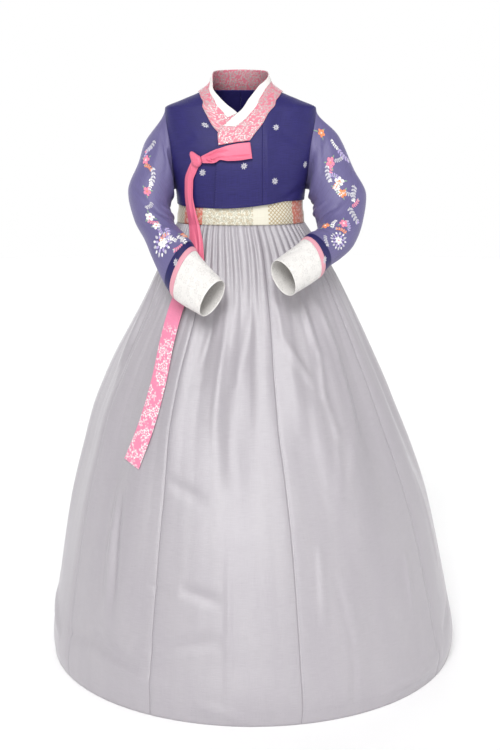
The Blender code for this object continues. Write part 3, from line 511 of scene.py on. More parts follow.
CUFF_MOTIFS = (
    ((0.115, -0.296, -0.368), "blossom", 0.0100, 10, "tone", "tone"),
    ((0.170, -0.242, -0.402), "blossom", 0.0090, 35, "tone", "tone"),
    ((0.143, -0.275, -0.375), "sprig", 0.0130, 50, "tone", "tone"),
    ((-0.114, -0.271, -0.420), "blossom", 0.0095, 20, "tone", "tone"),
    ((-0.100, -0.290, -0.447), "blossom", 0.0090, 50, "tone", "tone"),
    ((-0.130, -0.255, -0.395), "sprig", 0.0120, -40, "tone", "tone"),
)
JACKET_MOTIFS = (
    ((-0.086, -0.091, -0.040), "rosette", 0.0098, 0, "silver", "silver"),
    ((-0.091, -0.114, -0.154), "rosette", 0.0098, 20, "silver", "silver"),
    ((0.009, -0.127, -0.139), "rosette", 0.0092, 10, "silver", "silver"),
    ((0.084, -0.114, -0.174), "rosette", 0.0098, 15, "silver", "silver"),
    ((0.087, -0.094, -0.047), "rosette", 0.0092, 5, "silver", "silver"),
    ((0.159, -0.068, -0.137), "rosette", 0.0098, 25, "silver", "silver"),
    ((-0.095, 0.095, -0.040), "rosette", 0.0098, 0, "silver", "silver"),
    ((-0.100, 0.110, -0.150), "rosette", 0.0098, 20, "silver", "silver"),
    ((-0.040, 0.110, -0.095), "rosette", 0.0092, 10, "silver", "silver"),
    ((0.040, 0.110, -0.160), "rosette", 0.0098, 15, "silver", "silver"),
    ((0.095, 0.095, -0.060), "rosette", 0.0092, 5, "silver", "silver"),
    ((0.140, 0.080, -0.150), "rosette", 0.0098, 25, "silver", "silver"),
)
GARLAND_REACH = 0.10
GARLAND_SPRIG = 0.015
GARLAND_THREADS = ("white", "silver", "pink", "lilac", "orange")
THREAD_COLOURS = {
    "pink": (0.83, 0.22, 0.34),
    "orange": (0.85, 0.26, 0.10),
    "white": (0.86, 0.85, 0.82),
    "silver": (0.56, 0.55, 0.60),
    "lilac": (0.42, 0.34, 0.62),
    "green": (0.25, 0.38, 0.25),
    "tone": (0.80, 0.77, 0.74),
}
THREAD_HEIGHT = 0.0007
THREAD_SINK = 0.0003
STITCH_HEIGHT = 0.0004
STITCH_HALF = 0.0016
STITCH_HALF_WIDTH = 0.0004
HEM_STITCH_PITCH = 0.0095
HEM_STITCH_ROWS = 4

# Rings of a stroke: share of its outline, share of its height (minus is under the cloth)
PETAL_RINGS = ((1.0, -1.0), (0.92, 0.5), (0.5, 0.95))
STITCH_RINGS = ((1.0, -1.0), (0.7, 0.8))

SEAM_STITCH_COLUMN = 1.2
THREADS_A_METRE = 2400.0
FOIL_FROM = 0.415
PALE_FADE = 0.20
FLOOR_GAP = 0.0004

# Which sides of a jacket piece are stitched: 0 is its first column, 1 its last
SEAM_SIDES = {
    "jeogori_front_left": (0, 1),
    "jeogori_front_right": (0,),
    "jeogori_seop": (0, 1),
    "jeogori_back_left": (0, 1),
    "jeogori_back_right": (0, 1),
}

# Blocks round the skirt's band, in metres from where a repeat starts
BLOCK_START = 0.152
BLOCK_REPEAT = 0.290
BLOCK_RED = (0.0, 0.057)
BLOCK_GOLD = (0.057, 0.183)
BLOCK_MESH = (0.221, 0.290)



def curve_through(knots, values, at):
    """Smooth curve through rows of values at the knots, read at the places asked for.

    Cubic pieces whose slope at a knot is the harmonic mean of its two neighbours' slopes, or
    zero where they turn, so the curve never swings past the rows.
    """
    knots = np.asarray(knots, dtype=float)
    values = np.asarray(values, dtype=float)
    rows = values.reshape(len(knots), -1)
    step = np.diff(knots)[:, None]
    slope = np.diff(rows, axis=0) / step
    product = slope[:-1] * slope[1:]
    total = np.where(product > 0, slope[:-1] + slope[1:], 1.0)
    middle = np.where(product > 0, 2.0 * product / total, 0.0)
    tangent = np.vstack((slope[:1], middle, slope[-1:]))
    place = np.clip(np.asarray(at, dtype=float), knots[0], knots[-1])
    row = np.clip(np.searchsorted(knots, place, side="right") - 1, 0, len(knots) - 2)
    width = step[row]
    part = (place - knots[row])[..., None] / width
    start = (1 + 2 * part) * (1 - part) ** 2 * rows[row] + part * (1 - part) ** 2 * width * tangent[row]
    end = part ** 2 * (3 - 2 * part) * rows[row + 1] - part ** 2 * (1 - part) * width * tangent[row + 1]
    return (start + end).reshape(place.shape + values.shape[1:])


def soft_step(value):
    """0 below 0, 1 above 1, and an S curve between."""
    part = np.clip(value, 0.0, 1.0)
    return part * part * (3 - 2 * part)


def unit(vectors):
    """The same directions, one metre long."""
    return vectors / np.maximum(np.linalg.norm(vectors, axis=-1, keepdims=True), 1e-12)


def normals_of(surface, across, along):
    """Outward normals of a surface: the cross product of its slopes, found from points close by."""
    near = 0.001
    side = surface(across + near, along) - surface(across - near, along)
    up = surface(across, along + near) - surface(across, along - near)
    return unit(np.cross(side, up))


def body_point(angle, height):
    """Point of the jacket's body: an oval section at each height, a little squared."""
    angle, height = np.broadcast_arrays(angle, height)
    half_width, front, back = np.moveaxis(curve_through(BODY[:, 0], BODY[:, 1:], height), -1, 0)
    across = np.sin(angle)
    along = np.cos(angle)
    depth = np.where(along > 0, front, back)
    x = half_width * np.sign(across) * np.abs(across) ** SQUARENESS
    y = -depth * np.sign(along) * np.abs(along) ** SQUARENESS
    return np.stack((x, y, height), axis=-1)


def body_angle(x, height):
    """Angle at which the body's front has this x at this height."""
    half_width = curve_through(BODY[:, 0], BODY[:, 1], height)
    share = np.clip(np.abs(x) / half_width, 0.0, 1.0)
    return np.sign(x) * np.arcsin(share ** (1 / SQUARENESS))


def front_lift(x, height):
    """How far the wearer's left front stands out where it laps over the right one."""
    towards_lap = soft_step((LIFT_FROM_X - x) / LIFT_RUN_X)
    below_neck = soft_step((NECK_TOP - height) / LIFT_RUN_Z)
    return OVERLAP_LIFT * towards_lap * below_neck


def armhole_angle(height):
    """Angle of the armhole's edge: at the side at armpit and shoulder, bowed inwards between."""
    part = np.clip((height - ARMPIT) / (SHOULDER - ARMPIT), 0.0, 1.0)
    return np.pi / 2 - ARMHOLE_BOW * np.sin(np.pi * part) ** ARMHOLE_BOW_POWER


def hem_height(angle):
    """Height of the jacket's hem at this angle."""
    return curve_through(JACKET_HEM[:, 0], JACKET_HEM[:, 1], np.degrees(angle))


def crease_height(across, along, table):
    """Relief of soft creases, each a ridge or trough round a straight line on the cloth.

    Its height is the rise times a bell curve of the distance to the line, and it fades to
    nothing at both ends of the line as half a sine wave does.
    """
    relief = np.zeros(np.broadcast(across, along).shape)
    for first_across, first_along, last_across, last_along, spread, rise in table:
        run = np.array((last_across - first_across, last_along - first_along))
        reach = np.hypot(*run)
        part = ((across - first_across) * run[0] + (along - first_along) * run[1]) / reach ** 2
        apart = ((across - first_across) * run[1] - (along - first_along) * run[0]) / reach
        fade = np.sin(np.pi * np.clip(part, 0.0, 1.0)) ** CREASE_FADE
        relief = relief + rise * fade * np.exp(-(apart / spread) ** 2)
    return relief


def cloth_lengths(points, tube):
    """Metres along the cloth at each point: across its row from the middle, and down its column.

    A tube whose girth hardly changes is cut as a straight strip, so all its rows get one length.
    """
    if tube:
        points = np.concatenate((points, points[:, :1]), axis=1)
    steps = np.linalg.norm(np.diff(points, axis=1), axis=-1)
    across = np.concatenate((np.zeros((len(points), 1)), np.cumsum(steps, axis=1)), axis=1)
    girth = across[:, -1:].copy()
    if tube and np.ptp(girth) < STRIP_CHANGE * girth.mean():
        across *= girth.mean() / girth
    across -= across[:, -1:] / 2
    steps = np.linalg.norm(np.diff(points, axis=0), axis=-1)
    down = np.vstack((np.zeros((1, points.shape[1])), np.cumsum(steps, axis=0)))
    return np.stack((across, down), axis=-1)


def drawn_back(grid, reach, rows=True, columns=True):
    """The grid with its border rows or columns moved towards its middle by this reach."""
    grid = grid.copy()
    if rows:
        grid[0] += unit(grid[1] - grid[0]) * reach
        grid[-1] += unit(grid[-2] - grid[-1]) * reach
    if columns:
        grid[:, 0] += unit(grid[:, 1] - grid[:, 0]) * reach
        grid[:, -1] += unit(grid[:, -2] - grid[:, -1]) * reach
    return grid


def make_object(name, points, faces, corners, material):
    """A smooth mesh object with its UV map in metres of cloth, riding on the garment."""
    mesh = bpy.data.meshes.new(name)
    mesh.from_pydata(points.tolist(), [], faces.tolist())
    if corners is not None:
        mesh.uv_layers.new(name="cloth").data.foreach_set("uv", corners.reshape(-1).astype(np.float32))
    mesh.shade_smooth()
    mesh.materials.append(material)
    thing = bpy.data.objects.new(name, mesh)
    bpy.context.scene.collection.objects.link(thing)
    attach(thing, "root")
    return thing


def add_wall(name, outer, inner, material, tube=False):
    """One closed body between two grids of points; a tube joins its last column to its first.

    The rim is rounded: a row of points half way between the grids keeps the true edge, and the
    grids' own border rows draw back from it by a third of the thickness.
    """
    rows, columns = outer.shape[:2]
    wall = np.linalg.norm(outer - inner, axis=-1).mean()
    reach = RIM_SHARE * wall
    middle = (outer + inner) / 2
    sides = 0 if tube else 1
    size = (rows + 2, columns + 2 * sides)
    face = np.zeros((*size, 3))
    back = np.zeros((*size, 3))
    inside = (slice(1, -1), slice(sides, size[1] - sides))
    face[inside] = drawn_back(outer, reach, columns=not tube)
    back[inside] = drawn_back(inner, reach, columns=not tube)
    ends = drawn_back(middle, reach, rows=False, columns=not tube)
    face[0, inside[1]], face[-1, inside[1]] = ends[0], ends[-1]
    if not tube:
        edges = drawn_back(middle, reach, columns=False)
        face[1:-1, 0], face[1:-1, -1] = edges[:, 0], edges[:, -1]
        for row in (0, -1):
            for column in (0, -1):
                face[row, column] = middle[row, column]
    front_index = np.arange(size[0] * size[1]).reshape(size)
    back_index = front_index.copy()
    back_index[inside] = front_index.size + np.arange(rows * columns).reshape(rows, columns)
    points = np.concatenate((face.reshape(-1, 3), back[inside].reshape(-1, 3)))
    lengths = cloth_lengths(outer, tube)
    lengths = np.pad(lengths, ((1, 1), (sides, sides), (0, 0)), mode="edge")
    if tube:
        front_index = np.hstack((front_index, front_index[:, :1]))
        back_index = np.hstack((back_index, back_index[:, :1]))
    faces = []
    corners = []
    orders = (
        (front_index, ((0, 0), (0, 1), (1, 1), (1, 0))),
        (back_index, ((0, 0), (1, 0), (1, 1), (0, 1))),
    )
    for index, order in orders:
        height, width = index.shape
        windows = [(slice(down, height - 1 + down), slice(over, width - 1 + over)) for down, over in order]
        faces.append(np.stack([index[window] for window in windows], axis=-1).reshape(-1, 4))
        corners.append(np.stack([lengths[window] for window in windows], axis=-2).reshape(-1, 4, 2))
    faces = np.vstack(faces)
    corners = np.concatenate(corners)
    return make_object(name, points, faces, corners, material)


def cut_size(points, tube=False):
    """Width and length of the flat cloth and its area, added up over the worn surface."""
    length = float(cloth_lengths(points, tube)[-1, :, 1].max())
    if tube:
        points = np.concatenate((points, points[:, :1]), axis=1)
    width = float(np.linalg.norm(np.diff(points, axis=1), axis=-1).sum(axis=1).max())
    first = points[1:, 1:] - points[:-1, :-1]
    second = points[1:, :-1] - points[:-1, 1:]
    area = float(np.linalg.norm(np.cross(first, second), axis=-1).sum() / 2)
    return (round(width, 3), round(length, 3)), round(area, 4)


def dress(node, outer, inner, material, tube=False):
    """A worn piece in place of its solid; the size of the flat cloth it was cut from is worked out but not kept.
    """
    thing = add_wall("cloth_" + node, outer, inner, material, tube)
    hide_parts(node)
    flat, area = cut_size(outer, tube)
    return thing


def grid_normals(grid, tube, side=1):
    """Outward normals of a grid of points, from each point's neighbours."""
    if tube:
        around = np.roll(grid, -1, axis=1) - np.roll(grid, 1, axis=1)
    else:
        around = np.gradient(grid, axis=1)
    return unit(np.cross(around, np.gradient(grid, axis=0)) * side)


def body_cloth(angle, height, lift):
    """Outer and inner points of a piece of the jacket's body, with its creases."""
    point = body_point(angle, height)
    front = crease_height(point[..., 0], height, FRONT_CREASES)
    back = crease_height(point[..., 0], height, BACK_CREASES)
    facing = np.cos(angle)
    relief = np.where(facing > 0, front, back) * soft_step(np.abs(facing) / SIDE_FADE)
    lift = (lift + relief)[..., None]
    normal = normals_of(body_point, angle, height)
    return point + normal * lift, point + normal * (lift - WALL)


def outer_limit(height):
    """Angle where a body panel ends at the side: side seam, armhole, then shoulder seam."""
    seam = (SEAM / curve_through(BODY[:, 0], BODY[:, 2], height)) ** (1 / SQUARENESS)
    in_armhole = (height > ARMPIT + 1e-6) & (height < SHOULDER - 1e-6)
    return np.where(in_armhole, armhole_angle(height), np.pi / 2 - seam)


def panel_heights():
    """Heights of a body panel's rows: below the armpit, up the armhole, up the shoulder seam."""
    low = np.linspace(HEM_LEVEL, ARMPIT, LOW_ROWS)
    armhole = np.linspace(ARMPIT, SHOULDER, ARMHOLE_ROWS)
    shoulder = np.linspace(SHOULDER, NECK_TOP, SHOULDER_ROWS)
    return np.concatenate((low[:-1], armhole[:-1], shoulder))


def panel_grid(inner, outer, heights):
    """Angles and heights of a body panel between two edges; its low rows bend to the hem."""
    share = np.linspace(0, 1, PANEL_COLUMNS)
    angle = inner[:, None] + (outer - inner)[:, None] * share
    height = np.repeat(heights[:, None], PANEL_COLUMNS, axis=1)
    drop = (hem_height(angle) - HEM_LEVEL) * np.clip((ARMPIT - height) / (ARMPIT - HEM_LEVEL), 0, 1)
    return angle, height + drop


def left_inner_x(height):
    """Inner edge of the wearer's left front: the seop seam, then under the collar."""
    collar = np.interp(height, COLLAR_OVER[:, 3], COLLAR_OVER[:, 2]) - COLLAR_OVERLAP
    return np.maximum(SEOP_SEAM_X + SEAM / 2, collar)


def right_inner_x(height):
    """Inner edge of the wearer's right front: under its collar, then under the other front."""
    edge = COLLAR_UNDER[::-1]
    collar = np.interp(height, edge[:, 3], edge[:, 2]) + COLLAR_OVERLAP
    return collar + HIDDEN_LAP * soft_step((HIDDEN_LAP_START - height) / HIDDEN_LAP_RUN)


def left_front():
    """Angles, heights and lifts of the front that laps over."""
    heights = panel_heights()
    inner = body_angle(left_inner_x(heights), heights)
    angle, height = panel_grid(inner, outer_limit(heights), heights)
    return angle, height, front_lift(body_point(angle, height)[..., 0], height)


def right_front():
    """Angles, heights and lifts of the front underneath."""
    heights = panel_heights()
    inner = body_angle(right_inner_x(heights), heights)
    angle, height = panel_grid(-outer_limit(heights), inner, heights)
    return angle, height, np.zeros(angle.shape)


def back_panel(side):
    """Angles, heights and lifts of one back panel, from the side to the centre back seam."""
    heights = panel_heights()
    centre = np.pi - (SEAM / curve_through(BODY[:, 0], BODY[:, 1], heights)) ** (1 / SQUARENESS)
    edges = (np.pi - outer_limit(heights), centre)
    if side < 0:
        edges = (-edges[1], -edges[0])
    angle, height = panel_grid(*edges, heights)
    return angle, height, np.zeros(angle.shape)


def overlap_panel():
    """Angles, heights and lifts of the seop, from the seop seam to the lapped edge."""
    share = np.linspace(0, 1, PANEL_COLUMNS)
    top = np.interp(share, SEOP_TOP_SHARES, SEOP_TOP_HEIGHTS)
    up = np.linspace(0, 1, SEOP_ROWS)[:, None]
    edge = LAPPED_EDGE_X + LAPPED_EDGE_LEAN * up
    x = edge + (SEOP_SEAM_X - SEAM / 2 - edge) * share
    hem = hem_height(body_angle(x[0], HEM_LEVEL))
    height = hem + (top - hem) * up
    return body_angle(x, height), height, front_lift(x, height)


def collar_stations():
    """Collar's course: free end, round the neck, then the end that goes under.

    Each row has the angle and height of its inner edge, those of its outer edge, and whether it
    lies on the lapped front.
    """
    def chest(table):
        inner = (body_angle(table[:, 0], table[:, 1]), table[:, 1])
        outer = (body_angle(table[:, 2], table[:, 3]), table[:, 3])
        return np.stack((*inner, *outer), axis=1)

    neck = np.radians(COLLAR_NECK[:, :1])
    around = np.hstack((neck, COLLAR_NECK[:, 1:2], neck, COLLAR_NECK[:, 2:]))
    under = chest(COLLAR_UNDER)
    under[:, (0, 2)] += 2 * np.pi
    stations = np.vstack((chest(COLLAR_OVER), around, under))
    on_top = (np.arange(len(stations)) < len(COLLAR_OVER)).astype(float)
    return np.column_stack((stations, on_top))


def collar_cloth(widest, columns, start, finish, base, wall):
    """Outer and inner points of a band along the collar's course, up to this share of its width."""
    stations = collar_stations()
    last = len(stations) - 1
    places = np.linspace(start, last - finish, round((last - finish - start) * COLLAR_ROWS_A_STATION))
    rows = curve_through(np.arange(last + 1), stations, places)
    share = np.linspace(0, widest, columns)
    angle = rows[:, :1] + (rows[:, 2:3] - rows[:, :1]) * share
    height = rows[:, 1:2] + (rows[:, 3:4] - rows[:, 1:2]) * share
    x = body_point(angle, height)[..., 0]
    crown = COLLAR_CROWN * soft_step((share - EDGE_SHARE) / (1 - EDGE_SHARE)) * soft_step((1 - share) / 0.2)
    if widest < 1:
        crown = np.zeros(columns)
    lift = (COLLAR_CLEAR + rows[:, 4:] * front_lift(x, height) + base + crown)[..., None]
    point = body_point(angle, height)
    normal = normals_of(body_point, angle, height)
    return point + normal * (lift + wall), point + normal * lift


def armhole_ring(side, lift):
    """Points of the armhole's edge: shoulder, down the front to the armpit, up the back."""
    down = np.linspace(SHOULDER, ARMPIT, HALF_RING + 1)
    front = armhole_angle(down)
    angle = side * np.concatenate((front, np.pi - front[-2:0:-1]))
    height = np.concatenate((down, down[-2:0:-1]))
    return body_point(angle, height) + normals_of(body_point, angle, height) * lift


def sleeve_start(side):
    """First two rings of a sleeve, outer points, and the first ring's inner points.

    At the shoulder the sleeve goes on where the body's surface ends. At the armpit it turns to
    stand square off the side, which leaves the tight fold of a worn sleeve under the arm.
    """
    edge = armhole_ring(side, 0.0)
    normal = unit(edge - armhole_ring(side, -WALL))
    along = np.roll(edge, -1, axis=0) - np.roll(edge, 1, axis=0)
    beyond = unit(np.cross(normal, along) * side)
    count = len(edge)
    from_top = np.abs((np.arange(count) + count / 2) % count - count / 2) / (count / 2)
    turn = np.pi / 2 * np.sin(np.pi / 2 * from_top)[:, None]
    course = np.cos(turn) * beyond + np.sin(turn) * normal
    inwards = np.sin(turn) * beyond - np.cos(turn) * normal
    first = edge + SEAM * (beyond + normal)
    return first, first + course * GUSSET, first + inwards * WALL


def sleeve_rings(side, table):
    """Oval sections of a sleeve from its table, each from the outer edge round the front."""
    inner = table[:, :3]
    outer = table[:, 3:6]
    centre = (inner + outer) / 2
    half = (outer - inner) / 2
    front = np.cross(np.gradient(centre, axis=0), half) * side
    front *= table[:, 6:] / np.linalg.norm(front, axis=1, keepdims=True)
    turn = np.linspace(0, 2 * np.pi, 2 * HALF_RING, endpoint=False)
    round_cos = np.cos(turn)[None, :, None]
    round_sin = np.sin(turn)[None, :, None]
    return centre[:, None] + half[:, None] * round_cos + front[:, None] * round_sin


def sleeve_cloth(side, table):
    """Outer and inner points down a whole sleeve, and the rows where its bands start."""
    start, gusset, first_inner = sleeve_start(side)
    rings = np.concatenate((start[None], gusset[None], sleeve_rings(side, table)))
    centre = rings.mean(axis=1)
    reach = np.concatenate(((0,), np.cumsum(np.linalg.norm(np.diff(centre, axis=0), axis=1))))
    navy, white, end = reach[-3], reach[-2], reach[-1]
    pink = navy + NAVY_SHARE * (white - navy)
    stretches = ((reach[1], navy, SLEEVE_ROWS), (navy, pink, BAND_ROWS), (pink, white, PIPING_ROWS),
                 (white, end, CUFF_ROWS))
    places = np.concatenate([(0.0,)] + [np.linspace(*stretch)[:-1] for stretch in stretches] + [(end,)])
    marks = np.cumsum([0] + [stretch[2] - 1 for stretch in stretches]) + 1
    marks[0] = 0
    grid = curve_through(reach, rings, places)
    around = np.arange(grid.shape[1]) / grid.shape[1] * SLEEVE_GIRTH
    along = (places / navy * SLEEVE_LENGTH)[:, None]
    scale = np.array((SLEEVE_LENGTH, SLEEVE_GIRTH, SLEEVE_LENGTH, SLEEVE_GIRTH, 1, 1))
    relief = np.zeros(grid.shape[:2])
    for shift in (-SLEEVE_GIRTH, 0, SLEEVE_GIRTH):
        for table_of in (SLEEVE_CREASES, CUFF_CREASES):
            relief += crease_height(along, around + shift, table_of * scale)
    relief *= soft_step(places / GUSSET / 3)[:, None]
    piping = np.clip((places - pink) / (white - pink), 0, 1)
    relief += PIPING_ROLL * np.sin(np.pi * piping)[:, None] ** 0.5
    normal = grid_normals(grid, True, side)
    outer = grid + normal * relief[..., None]
    inner = outer - grid_normals(outer, True, side) * WALL
    inner[0] = first_inner
    return outer, inner, marks


def skirt_section(height):
    """Centre x, half width and depth share of the skirt at this height."""
    return np.moveaxis(curve_through(-SKIRT[:, 0], SKIRT[:, 1:], -np.asarray(height)), -1, 0)


def skirt_cover(angle, height):
    """Skirt without its pleats: an oval at each height, with the large folds."""
    angle, height = np.broadcast_arrays(angle, height)
    centre, half_width, share = skirt_section(height)
    rise = np.zeros(angle.shape)
    for top, top_z, low, low_z, spread, size in SKIRT_FOLDS:
        part = np.clip((top_z - height) / (top_z - low_z), 0.0, 1.0)
        line = np.radians(top + (low - top) * part)
        apart = (angle - line + np.pi) % (2 * np.pi) - np.pi
        strength = np.sin(np.pi * part) ** FOLD_FADE
        rise = rise + size * strength * np.exp(-(apart * half_width / spread) ** 2)
    power = SQUARENESS + (1 - SQUARENESS) * soft_step((SKIRT[0, 0] - height) / SQUARE_FADE)
    across = np.sign(np.sin(angle)) * np.abs(np.sin(angle)) ** power
    along = np.sign(np.cos(angle)) * np.abs(np.cos(angle)) ** power
    x = centre + (half_width + rise) * across
    y = -(half_width * share + rise) * along
    return np.stack((x, y, height), axis=-1)


def skirt_relief(angle, height):
    """Height of the skirt's small creases, their lines given by angle and height."""
    relief = np.zeros(angle.shape)
    for first, first_z, last, last_z, spread, rise in SKIRT_CREASES:
        half_width = skirt_section((first_z + last_z) / 2)[1]
        middle = np.radians((first + last) / 2)
        apart = (angle - middle + np.pi) % (2 * np.pi) - np.pi
        half = np.radians(last - first) / 2 * half_width
        line = np.array(((-half, first_z, half, last_z, spread, rise),))
        relief += crease_height(apart * half_width, height, line)
    return relief


def skirt_cloth(number):
    """Outer and inner points of one skirt panel with its pleats, folds and creases.

    A pleat dips in by its depth times half of one plus the cosine of its place, leaned over a
    little so that it lies to one side, and each is a little deeper or shallower than the next.
    """
    first, last = SKIRT_SEAMS[number], SKIRT_SEAMS[number + 1]
    heights = np.linspace(SKIRT[0, 0], FLOOR, SKIRT_ROWS)[:, None]
    seam = SEAM / skirt_section(heights)[1]
    share = np.linspace(0, 1, SKIRT_COLUMNS)
    angle = first + seam + (last - first - 2 * seam) * share
    height = np.repeat(heights, SKIRT_COLUMNS, axis=1)
    count = PLEATS_A_PANEL * (number + share)
    uneven = 0.72 + 0.28 * np.sin(2.3 * np.floor(count) + 0.7) * np.sin(np.pi * (count % 1))
    lean = count + PLEAT_LEAN * np.sin(2 * np.pi * count)
    depth = curve_through(-PLEAT_DEPTH[:, 0], PLEAT_DEPTH[:, 1], -height)
    dip = depth * uneven * (0.5 + 0.5 * np.cos(2 * np.pi * lean))
    inwards = np.stack((-np.sin(angle), np.cos(angle), np.zeros(angle.shape)), axis=-1)
    pucker = SEAM_PUCKER * np.sin(2 * np.pi * heights / PUCKER_PITCH)
    near_seam = np.exp(-(np.minimum(share, 1 - share) / SEAM_PUCKER_SHARE) ** 2)
    relief = skirt_relief(angle, height) - SEAM_DIP * near_seam + pucker * near_seam
    relief[0] = 0
    normal = normals_of(skirt_cover, angle, height)
    relief *= soft_step((height - FLOOR) / HEM_FADE + 0.4)
    outer = skirt_cover(angle, height) + inwards * dip[..., None] + normal * relief[..., None]
    outer[(0, -1), :, 2] = heights[(0, -1), :]
    inner = outer - normal * WALL
    inner[(0, -1), :, 2] = outer[(0, -1), :, 2]
    return outer, inner


def band_cloth():
    """Outer and inner points of the skirt's band, rising inside the jacket."""
    heights = np.linspace(BAND[0, 0], BAND[-1, 0], WAIST_ROWS)
    inset = curve_through(BAND[:, 0], BAND[:, 1], heights)
    angle = np.linspace(-np.pi, np.pi, WAIST_COLUMNS, endpoint=False)[None] * np.ones((WAIST_ROWS, 1))
    height = heights[:, None] * np.ones(angle.shape)
    normal = normals_of(body_point, angle, height)
    outer = body_point(angle, height) - normal * inset[:, None, None]
    inner = outer - normal * BAND_WALL
    outer[..., 2] = height
    inner[..., 2] = height
    return outer, inner


def cloth_front(x, height):
    """Front face of what the ribbons lie on: jacket, then band, then skirt, with no pleats."""
    jacket = body_point(body_angle(x, height), height)[..., 1]
    centre, half_width, _ = skirt_section(np.minimum(height, SKIRT[0, 0]))
    turn = np.arcsin(np.clip((x - centre) / half_width, -1, 1))
    skirt = skirt_cover(turn, np.minimum(height, SKIRT[0, 0]))[..., 1]
    share = soft_step((BAND[0, 0] + HANDOVER - height) / HANDOVER)
    return jacket * (1 - share) + skirt * share


def ribbon_grid(table, steps):
    """Rows of points along a ribbon that lies on the front, from a table of its centre line."""
    reach = np.concatenate(((0,), np.cumsum(np.hypot(*np.diff(table[:, :2], axis=0).T))))
    x, z, width, lift = curve_through(reach, table, np.linspace(0, reach[-1], steps)).T
    course = unit(np.stack((np.gradient(x), np.gradient(z)), axis=1))
    share = np.linspace(-0.5, 0.5, RIBBON_COLUMNS)
    across_x = x[:, None] - width[:, None] * share * course[:, 1:]
    across_z = z[:, None] + width[:, None] * share * course[:, :1]
    y = cloth_front(across_x, across_z) - lift[:, None]
    return np.stack((across_x, y, across_z), axis=-1)


def ribbon_cloth(front, table):
    """Outer and inner points of a ribbon whose outer face is given, with its creases."""
    normal = unit(np.cross(np.gradient(front, axis=0), np.gradient(front, axis=1)))
    if normal[0, :, 1].mean() > 0:
        front = front[:, ::-1]
        normal = -normal[:, ::-1]
    lengths = cloth_lengths(front, False)
    relief = crease_height(lengths[..., 0], lengths[..., 1], table)[..., None]
    outer = front + normal * relief
    inner = outer - normal * RIBBON_WALL
    return outer[:, ::-1], inner[:, ::-1]


def loop_front():
    """Outer face of the tie's loop: out to its fold and back behind itself."""
    front = ribbon_grid(LOOP, LOOP_ROWS)
    back_table = LOOP[::-1].copy()
    back_table[:, 3] -= LOOP_BACK_LIFT
    back = ribbon_grid(back_table, LOOP_ROWS)[:, ::-1]
    turn = np.linspace(0, np.pi, FOLD_ROWS + 2)[1:-1][:, None, None]
    middle = (front[-1:] + back[:1]) / 2
    half = (front[-1:] - back[:1]) / 2
    fold = middle + half * np.cos(turn)
    fold[..., 0] += LOOP_FOLD_REACH * np.sin(turn)[..., 0]
    return np.concatenate((front, fold, back))


def knot_points():
    """Surface of the tie's knot: a squeezed oval bead with soft gathers and one pointed ear."""
    turn = np.linspace(0, 2 * np.pi, KNOT_SIDES, endpoint=False)
    rise = np.linspace(np.radians(2), np.radians(86), KNOT_RINGS)[:, None]
    ear = KNOT_EAR * np.exp(-((turn - KNOT_EAR_TURN) / KNOT_EAR_SPREAD) ** 2)
    round_off = np.cos(rise) ** KNOT_ROUNDNESS * (1 + ear * np.cos(rise))
    gather = KNOT_GATHER * np.sin(KNOT_GATHERS * turn + 3 * rise) * np.sin(2 * rise)
    x = KNOT_X + (KNOT_HALF_LENGTH * round_off + gather) * np.cos(turn)
    z = KNOT_Z + (KNOT_HALF_HEIGHT * round_off + gather) * np.sin(turn)
    wrap = KNOT_WRAP * np.sin((x - KNOT_X) / KNOT_HALF_LENGTH * 4 + (z - KNOT_Z) / KNOT_HALF_HEIGHT * 2)
    y = cloth_front(x, z) - KNOT_LIFT - (KNOT_DEPTH + wrap) * np.sin(rise)
    return np.stack((x, y, z), axis=-1)


# Embroidery and stitches


def ring_of_strokes(count, reach, half_length, half_width, taper, start=0.0):
    """Strokes in a ring, pointing outwards: x, y, turn, half length, half width, taper."""
    around = start + np.arange(count) * 2 * np.pi / count
    shape = np.tile((half_length, half_width, taper), (count, 1))
    return np.column_stack((reach * np.cos(around), reach * np.sin(around), around, shape))


def sprig_strokes():
    """A bent stem with a pair of leaves at each of five places: the stem's strokes and the leaves'."""
    place = np.linspace(-0.8, 0.7, 5)
    bend = 0.28 * (1 - place ** 2)
    slope = np.arctan2(1.0, -0.56 * place)
    stem = np.column_stack((bend, place, slope, np.tile((0.21, 0.035, 0.0), (5, 1))))
    turn = np.concatenate((slope - 0.85, slope + 0.85))
    x = np.tile(bend, 2) + 0.24 * np.cos(turn)
    y = np.tile(place, 2) + 0.24 * np.sin(turn)
    leaves = np.column_stack((x, y, turn, np.tile((0.22, 0.13, 0.35), (10, 1))))
    return stem, leaves


